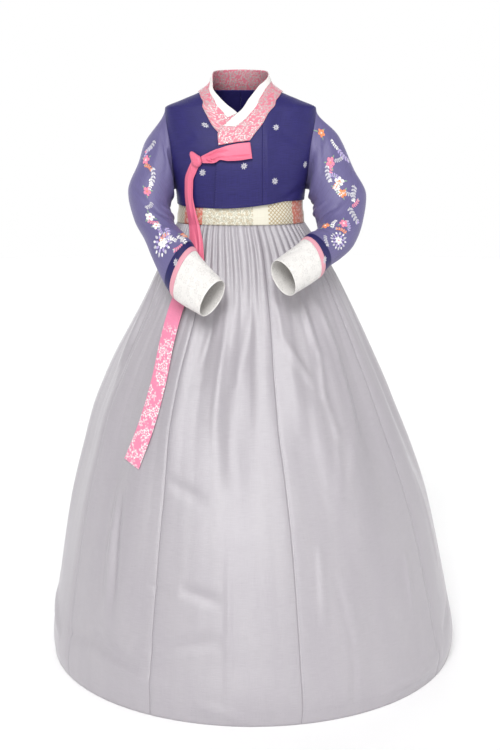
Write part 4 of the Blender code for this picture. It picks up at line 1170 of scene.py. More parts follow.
def motif_strokes(kind, petals, heart):
    """Strokes of one motif of half size 1, by thread."""
    if kind == "blossom":
        leaves = ring_of_strokes(3, 1.15, 0.34, 0.13, 0.5, 0.4)
        return (
            (petals, ring_of_strokes(5, 0.52, 0.44, 0.35, -0.25)),
            (heart, ring_of_strokes(5, 0.20, 0.15, 0.05, 0.0, 0.6)),
            (heart, ring_of_strokes(1, 0.0, 0.13, 0.13, 0.0)),
            ("tone" if petals == "tone" else "green", leaves),
        )
    if kind == "sprig":
        stem, leaves = sprig_strokes()
        return (
            ("tone" if petals == "tone" else "silver", stem),
            (petals, leaves),
            (heart, ring_of_strokes(3, 0.16, 0.16, 0.10, 0.3, 0.5) + (0.0, 0.95, 0.0, 0.0, 0.0, 0.0)),
        )
    if kind == "bouquet":
        return (
            ("lilac", ring_of_strokes(9, 0.62, 0.20, 0.11, 0.4)),
            (petals, ring_of_strokes(6, 0.26, 0.24, 0.15, -0.2)),
            ("silver", ring_of_strokes(7, 0.88, 0.20, 0.12, 0.3, 0.3)),
            (petals, ring_of_strokes(7, 0.90, 0.15, 0.10, 0.3, 0.75)),
            (heart, ring_of_strokes(1, 0.0, 0.12, 0.12, 0.0)),
        )
    return (
        (petals, ring_of_strokes(8, 0.60, 0.36, 0.17, 0.55)),
        (petals, ring_of_strokes(8, 0.30, 0.14, 0.07, 0.3, np.pi / 8)),
        (heart, ring_of_strokes(1, 0.0, 0.15, 0.15, 0.0)),
    )


def turned(strokes, size, turn):
    """Strokes scaled and turned about the motif's middle."""
    made = strokes.copy()
    cos, sin = np.cos(turn), np.sin(turn)
    made[:, 0] = size * (strokes[:, 0] * cos - strokes[:, 1] * sin)
    made[:, 1] = size * (strokes[:, 0] * sin + strokes[:, 1] * cos)
    made[:, 2] += turn
    made[:, 3:5] *= size
    return made


def cloth_at(grid, row, column, tube):
    """Points of a grid at rows and columns that may lie between its own, mixed from the four round each."""
    if tube:
        grid = np.concatenate((grid, grid[:, :1]), axis=1)
        column = column % (grid.shape[1] - 1)
    row = np.clip(row, 0, grid.shape[0] - 1.001)
    column = np.clip(column, 0, grid.shape[1] - 1.001)
    low, left = row.astype(int), column.astype(int)
    up, over = (row - low)[..., None], (column - left)[..., None]
    below = grid[low, left] * (1 - over) + grid[low, left + 1] * over
    above = grid[low + 1, left] * (1 - over) + grid[low + 1, left + 1] * over
    return below * (1 - up) + above * up


def stroke_bodies(cloth, rows, columns, strokes, height, sides, rings):
    """Small closed domes lying on a worn piece: points, triangles, and their places along each stroke.

    A stroke's outline is an oval whose width shrinks or grows along it by its taper. Rings of
    the outline, each smaller and higher, close in a point at the top; the lowest one lies just
    under the cloth. Rows and columns say where on the grid each stroke's own zero is.
    """
    grid, normal, tube = cloth
    across = cloth_at(grid, rows, columns + 0.5, tube) - cloth_at(grid, rows, columns - 0.5, tube)
    down = cloth_at(grid, rows + 0.5, columns, tube) - cloth_at(grid, rows - 0.5, columns, tube)
    facing = (np.cross(across, down) * cloth_at(normal, rows, columns, tube)).sum(axis=1)
    turn = np.sign(facing)[:, None] * np.linspace(0, 2 * np.pi, sides, endpoint=False)
    long = strokes[:, 3:4] * np.cos(turn)
    wide = strokes[:, 4:5] * np.sin(turn) * (1 - strokes[:, 5:6] * np.cos(turn))
    scales = np.array([ring[0] for ring in rings])
    lifts = np.array([ring[1] for ring in rings])
    local = np.stack((long, wide), axis=-1)[:, None] * scales[None, :, None, None]
    count = len(strokes)
    local = local.reshape(count, -1, 2)
    middle = np.zeros((count, 1, 2))
    local = np.concatenate((middle, local, middle), axis=1)
    lifts = np.where(lifts < 0, -THREAD_SINK, lifts * height)
    lift = np.concatenate(((-THREAD_SINK,), np.repeat(lifts, sides), (height,)))
    cos, sin = np.cos(strokes[:, 2:3]), np.sin(strokes[:, 2:3])
    x = strokes[:, 0:1] + local[..., 0] * cos - local[..., 1] * sin
    y = strokes[:, 1:2] + local[..., 0] * sin + local[..., 1] * cos
    column = columns[:, None] + x / np.linalg.norm(across, axis=1)[:, None]
    row = rows[:, None] + y / np.linalg.norm(down, axis=1)[:, None]
    points = cloth_at(grid, row, column, tube) + unit(cloth_at(normal, row, column, tube)) * lift[:, None]
    ring = 1 + np.arange(len(rings) * sides).reshape(len(rings), sides)
    following = np.roll(ring, -1, axis=1)
    bottom = np.stack((np.zeros(sides, dtype=int), following[0], ring[0]), axis=-1)
    first = np.stack((ring[:-1], following[:-1], following[1:]), axis=-1).reshape(-1, 3)
    second = np.stack((ring[:-1], following[1:], ring[1:]), axis=-1).reshape(-1, 3)
    top = np.stack((ring[-1], following[-1], np.full(sides, ring.max() + 1)), axis=-1)
    one = np.concatenate((bottom, first, second, top))
    faces = one[None] + (np.arange(count) * local.shape[1])[:, None, None]
    return points.reshape(-1, 3), faces.reshape(-1, 3), local.reshape(-1, 2)


def join_strokes(name, bodies, material):
    """One object from many sets of stroke bodies."""
    starts = np.cumsum([0] + [len(body[0]) for body in bodies])
    points = np.concatenate([body[0] for body in bodies])
    faces = np.concatenate([body[1] + start for body, start in zip(bodies, starts)])
    local = np.concatenate([body[2] for body in bodies])
    return make_object(name, points, faces, local[faces], material)


def nearest_place(cloths, point):
    """Which worn piece is nearest this point, and its row and column there."""
    found = []
    for number, (grid, _, _) in enumerate(cloths):
        away = np.linalg.norm(grid - np.array(point), axis=-1)
        row, column = np.unravel_index(away.argmin(), away.shape)
        found.append((away[row, column], number, float(row), float(column)))
    return min(found)[1:]


def garland(motifs):
    """The motifs with a sprig between each and the next one near it."""
    more = list(motifs)
    for number, (first, second) in enumerate(zip(motifs, motifs[1:])):
        step = np.array(second[0]) - np.array(first[0])
        if np.linalg.norm(step) < GARLAND_REACH:
            thread = GARLAND_THREADS[number % len(GARLAND_THREADS)]
            place = tuple(np.array(first[0]) + step / 2)
            more.append((place, "sprig", GARLAND_SPRIG, 70 * number, thread, "silver"))
    return more


def embroider(prefix, cloths, motifs, both_sides=False):
    """Motifs on worn pieces, joined to one object for each colour of thread.

    With both sides, each motif of a tube is worked again on its far side, turned another way.
    """
    by_thread = {}
    for point, kind, size, turn, petals, heart in motifs:
        number, row, column = nearest_place(cloths, point)
        places = [(column, np.radians(turn))]
        if both_sides:
            width = cloths[number][0].shape[1]
            places.append(((width - column) % width, np.radians(200.0 - turn)))
        for at, angle in places:
            for thread, strokes in motif_strokes(kind, petals, heart):
                strokes = turned(strokes, size, angle)
                rows = np.full(len(strokes), row)
                columns = np.full(len(strokes), at)
                body = stroke_bodies(cloths[number], rows, columns, strokes, THREAD_HEIGHT, 8, PETAL_RINGS)
                by_thread.setdefault(thread, []).append(body)
    for thread, bodies in by_thread.items():
        join_strokes(prefix + "_" + thread, bodies, thread_material(thread))


def stitches_along(cloth, rows, columns, pitch):
    """Stitches at an even pitch along a line of grid places."""
    grid, _, tube = cloth
    line = cloth_at(grid, rows, columns, tube)
    reach = np.concatenate(((0,), np.cumsum(np.linalg.norm(np.diff(line, axis=0), axis=1))))
    at = np.arange(pitch, reach[-1] - pitch, pitch)
    row = np.interp(at, reach, rows)
    column = np.interp(at, reach, columns)
    near = 0.2 * pitch
    across = cloth_at(grid, row, column + 0.5, tube) - cloth_at(grid, row, column - 0.5, tube)
    down = cloth_at(grid, row + 0.5, column, tube) - cloth_at(grid, row - 0.5, column, tube)
    across, down = np.linalg.norm(across, axis=1), np.linalg.norm(down, axis=1)
    run_x = (np.interp(at + near, reach, columns) - column) * across
    run_y = (np.interp(at + near, reach, rows) - row) * down
    strokes = np.zeros((len(at), 6))
    strokes[:, 2] = np.arctan2(run_y, run_x)
    strokes[:, 3] = STITCH_HALF
    strokes[:, 4] = STITCH_HALF_WIDTH
    return stroke_bodies(cloth, row, column, strokes, STITCH_HEIGHT, 6, STITCH_RINGS)


# Materials


def new_group(name, sockets_in, sockets_out):
    """An empty shader group with these named inputs and outputs."""
    kinds = {"float": "NodeSocketFloat", "colour": "NodeSocketColor", "vector": "NodeSocketVector"}
    group = bpy.data.node_groups.new(name, "ShaderNodeTree")
    for label, kind in sockets_in:
        group.interface.new_socket(name=label, in_out="INPUT", socket_type=kinds[kind])
    for label, kind in sockets_out:
        group.interface.new_socket(name=label, in_out="OUTPUT", socket_type=kinds[kind])
    return group, group.nodes.new("NodeGroupInput").outputs, group.nodes.new("NodeGroupOutput").inputs


def put(tree, socket, value):
    """Sets a socket, or joins another socket to it."""
    if isinstance(value, bpy.types.NodeSocket):
        tree.links.new(value, socket)
    else:
        socket.default_value = value


def node(tree, kind, settings=(), **values):
    """A shader node with its settings and its inputs by name."""
    made = tree.nodes.new("ShaderNode" + kind)
    for name, value in dict(settings).items():
        setattr(made, name, value)
    for name, value in values.items():
        put(tree, made.inputs[name.replace("_", " ")], value)
    return made


def calc(tree, operation, first, second=0.0, clamp=False):
    """One sum, as a Math node."""
    made = node(tree, "Math", {"operation": operation, "use_clamp": clamp})
    put(tree, made.inputs[0], first)
    put(tree, made.inputs[1], second)
    return made.outputs[0]


def ramp(tree, value, low, high):
    """0 at the low value and 1 at the high one, smooth between."""
    made = node(tree, "MapRange", {"interpolation_type": "SMOOTHSTEP"}, Value=value)
    put(tree, made.inputs["From Min"], low)
    put(tree, made.inputs["From Max"], high)
    return made.outputs["Result"]


def mixed(tree, factor, first, second, blend="MIX"):
    """Two colours mixed by a factor."""
    made = node(tree, "Mix", {"data_type": "RGBA", "blend_type": blend})
    put(tree, made.inputs[0], factor)
    put(tree, made.inputs[6], first)
    put(tree, made.inputs[7], second)
    return made.outputs[2]


def scaled(tree, vector, x, y, z=1.0):
    """A vector stretched along its axes."""
    made = node(tree, "VectorMath", {"operation": "MULTIPLY"})
    put(tree, made.inputs[0], vector)
    put(tree, made.inputs[1], (x, y, z))
    return made.outputs[0]


def weave_group():
    """Group for woven silk: crossing threads, thick slubs along the weft, and slow changes of tone.

    Threads are the product of two sine waves across the cloth. Slubs are noise drawn out along
    the weft. Tone is noise a hand wide.
    """
    group, given, out = new_group(
        "Silk Weave",
        (("Cloth", "vector"), ("Threads", "float"), ("Slub", "float")),
        (("Height", "float"), ("Slubs", "float"), ("Tone", "float")),
    )
    parts = node(group, "SeparateXYZ", Vector=given["Cloth"])
    turns = calc(group, "MULTIPLY", given["Threads"], 2 * np.pi)
    warp = calc(group, "SINE", calc(group, "MULTIPLY", parts.outputs[0], turns))
    weft = calc(group, "SINE", calc(group, "MULTIPLY", parts.outputs[1], turns))
    threads = calc(group, "MULTIPLY", warp, weft)
    slubs = node(group, "TexNoise", {"noise_dimensions": "2D"},
                 Vector=scaled(group, given["Cloth"], 34, 760), Scale=1.0, Detail=3.0, Roughness=0.6)
    weft_slubs = node(group, "TexNoise", {"noise_dimensions": "2D"},
                      Vector=scaled(group, given["Cloth"], 900, 22), Scale=1.0, Detail=2.0, Roughness=0.5)
    both = calc(group, "ADD", calc(group, "MULTIPLY", slubs.outputs[0], 0.65),
                calc(group, "MULTIPLY", weft_slubs.outputs[0], 0.35))
    tone = node(group, "TexNoise", {"noise_dimensions": "2D"}, Vector=scaled(group, given["Cloth"], 14, 4),
                Scale=1.0, Detail=3.0, Roughness=0.5)
    put(group, out["Height"], calc(group, "ADD", calc(group, "MULTIPLY", threads, 0.3),
                                   calc(group, "MULTIPLY", both, given["Slub"])))
    put(group, out["Slubs"], both)
    put(group, out["Tone"], tone.outputs[0])
    return group


def blossom_group():
    """Group for a scattered blossom pattern in the cloth.

    Each cell of a Voronoi pattern holds one flower: its edge is a radius that swells five times
    round, turned by the cell's own colour. Lines are thin rings that follow the same edge, broken
    by noise. Leaves are a second, finer scatter with two lobes.
    """
    group, given, out = new_group(
        "Blossoms",
        (("Cloth", "vector"), ("Flowers", "float"), ("Size", "float"), ("Petals", "float")),
        (("Petals", "float"), ("Lines", "float"), ("Leaves", "float")),
    )

    def scatter(density, size, lobes, depth, jitter):
        spread = node(group, "VectorMath", {"operation": "SCALE"})
        put(group, spread.inputs[0], given["Cloth"])
        put(group, spread.inputs["Scale"], density)
        cells = node(group, "TexVoronoi", {"voronoi_dimensions": "2D"}, Vector=spread.outputs[0],
                     Scale=1.0, Randomness=jitter)
        away = node(group, "VectorMath", {"operation": "SUBTRACT"})
        put(group, away.inputs[0], spread.outputs[0])
        put(group, away.inputs[1], cells.outputs["Position"])
        parts = node(group, "SeparateXYZ", Vector=away.outputs[0])
        shade = node(group, "SeparateColor", Color=cells.outputs["Color"])
        turn = calc(group, "ADD", calc(group, "ARCTAN2", parts.outputs[1], parts.outputs[0]),
                    calc(group, "MULTIPLY", shade.outputs[0], 6.28))
        wave = calc(group, "COSINE", calc(group, "MULTIPLY", turn, lobes))
        swell = calc(group, "ADD", 1 - depth, calc(group, "MULTIPLY", wave, depth))
        edge = calc(group, "MULTIPLY", size, swell)
        return calc(group, "DIVIDE", cells.outputs["Distance"], edge)

    flower = scatter(given["Flowers"], given["Size"], given["Petals"], 0.22, 0.75)
    noise = node(group, "TexNoise", {"noise_dimensions": "2D"},
                 Vector=scaled(group, given["Cloth"], 420, 420), Scale=1.0, Detail=2.0)
    rings = calc(group, "SINE", calc(group, "ADD", calc(group, "MULTIPLY", flower, 10.0),
                                     calc(group, "MULTIPLY", noise.outputs[0], 3.0)))
    inside = calc(group, "SUBTRACT", 1.0, ramp(group, flower, 0.94, 1.06), clamp=True)
    lines = calc(group, "MULTIPLY", ramp(group, rings, -0.1, 0.35), inside)
    finer = calc(group, "MULTIPLY", given["Flowers"], 2.1)
    leaf = scatter(finer, calc(group, "MULTIPLY", given["Size"], 0.8), 2.0, 0.55, 1.0)
    leaves = calc(group, "SUBTRACT", 1.0, ramp(group, leaf, 0.85, 1.1), clamp=True)
    outside = calc(group, "SUBTRACT", 1.0, inside, clamp=True)
    put(group, out["Petals"], inside)
    put(group, out["Lines"], lines)
    put(group, out["Leaves"], calc(group, "MULTIPLY", leaves, outside))
    return group


def use_group(tree, group, **values):
    """Places a shader group and sets its inputs by name."""
    made = tree.nodes.new("ShaderNodeGroup")
    made.node_tree = group
    for name, value in values.items():
        put(tree, made.inputs[name.replace("_", " ")], value)
    return made.outputs


def new_material(name, roughness, sheen=0.0, sheen_tint=(1, 1, 1), specular=0.5):
    """A material, its tree, its shader's inputs and the cloth's own coordinates in metres."""
    material = bpy.data.materials.new(name)
    material.use_nodes = True
    tree = material.node_tree
    shader = tree.nodes["Principled BSDF"].inputs
    shader["Roughness"].default_value = roughness
    shader["Sheen Weight"].default_value = sheen
    shader["Sheen Roughness"].default_value = 0.4
    shader["Sheen Tint"].default_value = (*sheen_tint, 1)
    shader["Specular IOR Level"].default_value = specular
    cloth = node(tree, "UVMap", {"uv_map": "cloth"}).outputs[0]
    return material, tree, shader, cloth


def raise_cloth(tree, shader, height, depth):
    """Gives the shader a bump of this depth in metres."""
    bump = node(tree, "Bump", Height=height, Distance=depth, Strength=1.0)
    put(tree, shader["Normal"], bump.outputs[0])


def colour(values, share=1.0):
    """A colour with its brightness scaled, ready for a socket."""
    return (values[0] * share, values[1] * share, values[2] * share, 1.0)


def silk_material(name, weave, base, threads, slub, roughness, sheen, contrast, bump, sheen_tint=(1, 1, 1),
                  specular=0.5):
    """Plain woven silk: its tone and gloss follow the slubs and the slow changes of the cloth."""
    material, tree, shader, cloth = new_material(name, roughness, sheen, sheen_tint, specular)
    woven = use_group(tree, weave, Cloth=cloth, Threads=threads, Slub=slub)
    streaks = mixed(tree, ramp(tree, woven["Slubs"], 0.34, 0.66), colour(base, 1 - contrast),
                    colour(base, 1 + contrast))
    slow = mixed(tree, ramp(tree, woven["Tone"], 0.3, 0.7), colour((0.965, 0.96, 0.97)), colour((1, 1, 1)))
    put(tree, shader["Base Color"], mixed(tree, 1.0, streaks, slow, "MULTIPLY"))
    gloss = calc(tree, "ADD", roughness - 0.06, calc(tree, "MULTIPLY", woven["Slubs"], 0.12))
    put(tree, shader["Roughness"], gloss)
    raise_cloth(tree, shader, woven["Height"], bump)
    return material


def foil_material(name, weave, blossoms, base, foil, flowers, size, leaves, above=None, metallic=0.0):
    """Silk with blossoms of shining foil on it. With a colour for above, the foil starts part way down."""
    roughness = 0.45
    material, tree, shader, cloth = new_material(name, roughness, 0.25)
    woven = use_group(tree, weave, Cloth=cloth, Threads=900.0, Slub=0.6)
    print_of = use_group(tree, blossoms, Cloth=cloth, Flowers=flowers, Size=size, Petals=5.0)
    pattern = calc(tree, "MAXIMUM", print_of["Lines"], calc(tree, "MULTIPLY", print_of["Leaves"], leaves))
    ground = mixed(tree, ramp(tree, woven["Slubs"], 0.34, 0.66), colour(base, 0.94), colour(base, 1.06))
    if above is not None:
        down = node(tree, "SeparateXYZ", Vector=cloth).outputs[1]
        patches = node(tree, "TexNoise", {"noise_dimensions": "2D"}, Vector=cloth, Scale=30.0, Detail=1.0)
        pattern = calc(tree, "MULTIPLY", pattern, ramp(tree, patches.outputs[0], 0.38, 0.44))
        pattern = calc(tree, "MULTIPLY", pattern, ramp(tree, down, FOIL_FROM, FOIL_FROM + 0.02))
        ground = mixed(tree, ramp(tree, down, FOIL_FROM - PALE_FADE, FOIL_FROM), colour(above), ground)
    put(tree, shader["Base Color"], mixed(tree, pattern, ground, colour(foil)))
    put(tree, shader["Roughness"], calc(tree, "SUBTRACT", roughness, calc(tree, "MULTIPLY", pattern, 0.18)))
    put(tree, shader["Metallic"], calc(tree, "MULTIPLY", pattern, metallic))
    height = calc(tree, "ADD", calc(tree, "MULTIPLY", woven["Height"], 0.5), pattern)
    raise_cloth(tree, shader, height, 0.0003)
    return material


def between(tree, value, low, high):
    """1 where the value lies between these two, 0 elsewhere, with narrow soft edges."""
    soft = 0.0006
    up = ramp(tree, value, low - soft, low + soft)
    down = ramp(tree, value, high - soft, high + soft)
    return calc(tree, "SUBTRACT", up, down, clamp=True)


def brocade_material(weave, blossoms, settings):
    """The skirt band: blocks of red lattice, gold flowers, plain cream and gold mesh."""
    material, tree, shader, cloth = new_material("Band brocade", 0.42, 0.2)
    parts = node(tree, "SeparateXYZ", Vector=cloth)
    shifted = calc(tree, "ADD", parts.outputs[0], BLOCK_START)
    place = calc(tree, "FLOORED_MODULO", shifted, BLOCK_REPEAT)
    red = between(tree, place, *BLOCK_RED)
    gold = between(tree, place, *BLOCK_GOLD)
    mesh = between(tree, place, *BLOCK_MESH)
    woven = use_group(tree, weave, Cloth=cloth, Threads=700.0, Slub=0.5)
    flowers = use_group(tree, blossoms, Cloth=cloth, Flowers=88.0, Size=0.44, Petals=5.0)
    lattice = use_group(tree, blossoms, Cloth=cloth, Flowers=105.0, Size=0.46, Petals=4.0)
    lines = node(tree, "TexWave", {"wave_type": "BANDS", "bands_direction": "DIAGONAL"}, Vector=cloth,
                 Scale=62.0, Distortion=1.5)
    mirrored = node(tree, "TexWave", {"wave_type": "BANDS", "bands_direction": "DIAGONAL"},
                    Vector=scaled(tree, cloth, -1, 1), Scale=62.0, Distortion=1.5)
    crossed = ramp(tree, calc(tree, "MAXIMUM", lines.outputs["Fac"], mirrored.outputs["Fac"]), 0.75, 0.95)
    cream = colour(settings.band_cream)
    gold_thread = colour(settings.band_gold)
    ground = mixed(tree, ramp(tree, woven["Slubs"], 0.34, 0.66), colour(settings.band_cream, 0.93), cream)
    worked = mixed(tree, flowers["Lines"], ground, gold_thread)
    worked = mixed(tree, calc(tree, "MULTIPLY", flowers["Leaves"], 0.7), worked, colour(settings.band_leaf))
    tint = mixed(tree, lattice["Lines"], colour(settings.band_red), cream)
    tint = mixed(tree, calc(tree, "MULTIPLY", lattice["Leaves"], 0.8), tint, gold_thread)
    net = mixed(tree, crossed, ground, gold_thread)
    base = mixed(tree, gold, ground, worked)
    base = mixed(tree, red, base, tint)
    base = mixed(tree, mesh, base, net)
    put(tree, shader["Base Color"], base)
    thread = calc(tree, "ADD", calc(tree, "MULTIPLY", gold, flowers["Lines"]),
                  calc(tree, "MULTIPLY", mesh, crossed), clamp=True)
    put(tree, shader["Metallic"], calc(tree, "MULTIPLY", thread, 0.45))
    put(tree, shader["Roughness"], calc(tree, "SUBTRACT", 0.5, calc(tree, "MULTIPLY", thread, 0.16)))
    edges = calc(tree, "ADD", calc(tree, "ADD", thread, calc(tree, "MULTIPLY", red, lattice["Lines"])),
                 calc(tree, "MULTIPLY", woven["Height"], 0.4))
    raise_cloth(tree, shader, edges, 0.0003)
    return material


def thread_material(thread):
    """Embroidery silk: satin stitches lie across each petal, so its shine is broken into fine lines."""
    name = "Thread " + thread
    if name in bpy.data.materials:
        return bpy.data.materials[name]
    silver = thread == "silver"
    material, tree, shader, cloth = new_material(name, 0.42 if silver else 0.5, 0.3)
    base = THREAD_COLOURS[thread]
    parts = node(tree, "SeparateXYZ", Vector=cloth)
    lines = calc(tree, "SINE", calc(tree, "MULTIPLY", parts.outputs[0], 2 * np.pi * THREADS_A_METRE))
    noise = node(tree, "TexNoise", {"noise_dimensions": "2D"},
                 Vector=scaled(tree, cloth, 2200, 300), Scale=1.0)
    shade = calc(tree, "ADD", calc(tree, "MULTIPLY", lines, 0.25), noise.outputs[0])
    tones = colour(base, 0.8), colour(base, 1.08)
    put(tree, shader["Base Color"], mixed(tree, ramp(tree, shade, 0.1, 0.8), *tones))
    shader["Metallic"].default_value = 0.35 if silver else 0.0
    raise_cloth(tree, shader, shade, 0.00012)
    return material


def stitch_material(name, base):
    """Sewing thread, twisted."""
    material, tree, shader, cloth = new_material(name, 0.55, 0.2)
    parts = node(tree, "SeparateXYZ", Vector=cloth)
    slant = calc(tree, "ADD", parts.outputs[0], parts.outputs[1])
    twist = calc(tree, "SINE", calc(tree, "MULTIPLY", slant, 2 * np.pi * THREADS_A_METRE))
    tones = colour(base, 0.85), colour(base)
    put(tree, shader["Base Color"], mixed(tree, ramp(tree, twist, -0.6, 0.6), *tones))
    raise_cloth(tree, shader, twist, 0.0001)
    return material


def shared_groups():
    """The weave and blossom groups, made once."""
    weave = bpy.data.node_groups.get("Silk Weave") or weave_group()
    blossoms = bpy.data.node_groups.get("Blossoms") or blossom_group()
    return weave, blossoms


# Settings


def colour_setting(name, description, default):
    """A colour in the sidebar."""
    return FloatVectorProperty(name=name, description=description, default=default, size=3, min=0, max=1,
                               subtype="COLOR")


class HanbokColours(PropertyGroup):
    """Colours of the silks."""

    bodice: colour_setting("Jacket", "Indigo silk of the jacket's body", (0.019, 0.015, 0.108))
    sleeve: colour_setting("Sleeves", "Dusty violet silk of the sleeves", (0.120, 0.105, 0.235))
    navy: colour_setting("Sleeve bands", "Navy silk bands near the cuffs", (0.012, 0.010, 0.082))
    pink: colour_setting("Tie", "Pink silk of the ribbon tie", (0.70, 0.135, 0.225))
    pale_pink: colour_setting("Tie's end", "Paler pink of the printed lower tie", (0.72, 0.215, 0.345))
    piping: colour_setting("Piping", "Pink strip between band and cuff", (0.64, 0.29, 0.35))
    collar: colour_setting("Collar", "Pink satin under the collar's foil", (0.62, 0.17, 0.235))
    foil: colour_setting("Foil", "Silver-white foil flowers", (0.78, 0.74, 0.74))
    collar_foil: colour_setting("Collar foil", "Silver foil flowers on the collar", (0.53, 0.50, 0.49))
    damask: colour_setting("Damask", "Woven flowers in the white cuffs", (0.67, 0.65, 0.63))
    white: colour_setting("Cuffs", "White damask of cuffs and collar edge", (0.73, 0.71, 0.685))
    skirt: colour_setting("Skirt", "Silver-lilac organza of the skirt", (0.350, 0.328, 0.353))
    band_cream: colour_setting("Band cream", "Cream ground of the skirt's band", (0.68, 0.65, 0.54))
    band_gold: colour_setting("Band gold", "Gold thread in the skirt's band", (0.40, 0.29, 0.14))
    band_leaf: colour_setting("Band leaves", "Green-grey leaves in the skirt's band", (0.17, 0.18, 0.11))
    band_red: colour_setting("Band red", "Red blocks in the skirt's band", (0.58, 0.13, 0.11))


class HanbokSizes(PropertyGroup):
    """Sizes of cloth detail, lights and camera."""

    weave_depth: FloatProperty(name="Weave depth", description="How deep the woven relief is", default=0.00012,
                               min=0, max=0.001, unit="LENGTH", precision=5)
    stitch_pitch: FloatProperty(name="Stitch pitch", description="From one seam stitch to the next",
                                default=0.0062, min=0.003, max=0.02, unit="LENGTH")
    lens: FloatProperty(name="Lens", description="Focal length in millimetres", default=61.28, min=20, max=200)
    camera_x: FloatProperty(name="Camera x", description="Camera to the side", default=0.0235, unit="LENGTH")
    camera_y: FloatProperty(name="Camera y", description="Camera in front", default=-3.25, unit="LENGTH")
    camera_z: FloatProperty(name="Camera z", description="Camera above the shoulders", default=0.0032,
                            unit="LENGTH")
    camera_pitch: FloatProperty(name="Camera pitch", description="How far the camera looks down",
                                default=np.radians(11.868), subtype="ANGLE", unit="ROTATION")
    key_power: FloatProperty(name="Key light", description="Strength of the soft main light", default=2.6, min=0)
    fill_power: FloatProperty(name="Fill light", description="Strength of the fill light", default=0.55, min=0)
    back_power: FloatProperty(name="Back light", description="Strength of the light behind", default=0.8, min=0)
    sky: FloatProperty(name="Sky", description="Brightness of the white surroundings", default=1.0, min=0)
    dome: FloatProperty(name="Overhead", description="Share of that brightness overhead", default=0.38, min=0)
    floor_radius: FloatProperty(name="Floor radius", description="Radius of the floor", default=9.0, min=2,
                                unit="LENGTH")


# Builders


def jacket_cloths():
    """Worn grids of the jacket's five body pieces: name, outer, inner."""
    pieces = (
        ("jeogori_front_left", left_front()),
        ("jeogori_front_right", right_front()),
        ("jeogori_seop", overlap_panel()),
        ("jeogori_back_left", back_panel(1)),
        ("jeogori_back_right", back_panel(-1)),
    )
    return [(name, *body_cloth(*grid)) for name, grid in pieces]


def worn(grid, tube=False, side=1):
    """A grid with its normals, for what lies on it."""
    return grid, grid_normals(grid, tube, side), tube


class HANBOK_OT_skirt(Operator):
    """Eight pleated panels of silver-lilac organza"""

    bl_idname = "hanbok.skirt"
    bl_label = "Skirt"

    def execute(self, context):
        weave, _ = shared_groups()
        base = tuple(context.scene.hanbok_colours.skirt)
        depth = context.scene.hanbok_sizes.weave_depth
        material = silk_material("Skirt organza", weave, base, 620.0, 1.6, 0.30, 0.12, 0.045, 2 * depth,
                                 (0.96, 0.93, 1.0), 1.0)
        for number in range(len(SKIRT_SEAMS) - 1):
            outer, inner = skirt_cloth(number)
            dress("chima_panel_%d" % (number + 1), outer[::-1], inner[::-1], material)
        return {"FINISHED"}


class HANBOK_OT_waistband(Operator):
    """Brocade band that holds the pleats"""

    bl_idname = "hanbok.waistband"
    bl_label = "Waistband"

    def execute(self, context):
        material = brocade_material(*shared_groups(), context.scene.hanbok_colours)
        outer, inner = band_cloth()
        dress("chima_waistband", outer, inner, material, tube=True)
        return {"FINISHED"}


class HANBOK_OT_jacket(Operator):
    """Fronts, overlap panel and backs of the indigo jacket"""

    bl_idname = "hanbok.jacket"
    bl_label = "Jacket body"

    def execute(self, context):
        weave, _ = shared_groups()
        base = tuple(context.scene.hanbok_colours.bodice)
        depth = context.scene.hanbok_sizes.weave_depth
        material = silk_material("Indigo silk", weave, base, 420.0, 1.1, 0.5, 0.06, 0.2, 2 * depth,
                                 (0.4, 0.35, 1.0), 0.3)
        for name, outer, inner in jacket_cloths():
            dress(name, outer, inner, material)
        return {"FINISHED"}


class HANBOK_OT_collar(Operator):
    """Patterned collar band and its white edge"""

    bl_idname = "hanbok.collar"
    bl_label = "Collar"

    def execute(self, context):
        weave, blossoms = shared_groups()
        colours = context.scene.hanbok_colours
        band = foil_material("Collar foil", weave, blossoms, tuple(colours.collar), tuple(colours.collar_foil),
                             38.0, 0.50, 0.8, metallic=0.2)
        edge = silk_material("White edge", weave, tuple(colours.white), 900.0, 0.4, 0.5, 0.15, 0.02,
                             context.scene.hanbok_sizes.weave_depth)
        outer, inner = collar_cloth(1.0, COLLAR_COLUMNS, 0, 0, 0, WALL)
        dress("git_collar", outer, inner, band)
        outer, inner = collar_cloth(EDGE_SHARE, EDGE_COLUMNS, EDGE_START, 1.0, WALL + SEAM, EDGE_WALL)
        dress("dongjeong", outer, inner, edge)
        return {"FINISHED"}


def sleeve_pieces(side, table):
    """A sleeve's four pieces, cut apart at their seams: name, slot, outer, inner."""
    outer, inner, marks = sleeve_cloth(side, table)
    word = "left" if side > 0 else "right"
    course = unit(np.gradient(outer.mean(axis=1), axis=0))
    names = (("sleeve_", "sleeve"), ("sleeve_band_", "navy"), ("sleeve_piping_", "pink"), ("cuff_", "white"))
    pieces = []
    for number, (name, slot) in enumerate(names):
        first, last = marks[number], marks[number + 1]
        shells = []
        for shell in (outer, inner):
            part = shell[first:last + 1].copy()
            if number:
                part[0] += course[first] * SEAM / 2
            part[-1] -= course[last] * SEAM / 2
            shells.append(part if side > 0 else part[:, ::-1])
        pieces.append((name + word, slot, *shells))
    return pieces


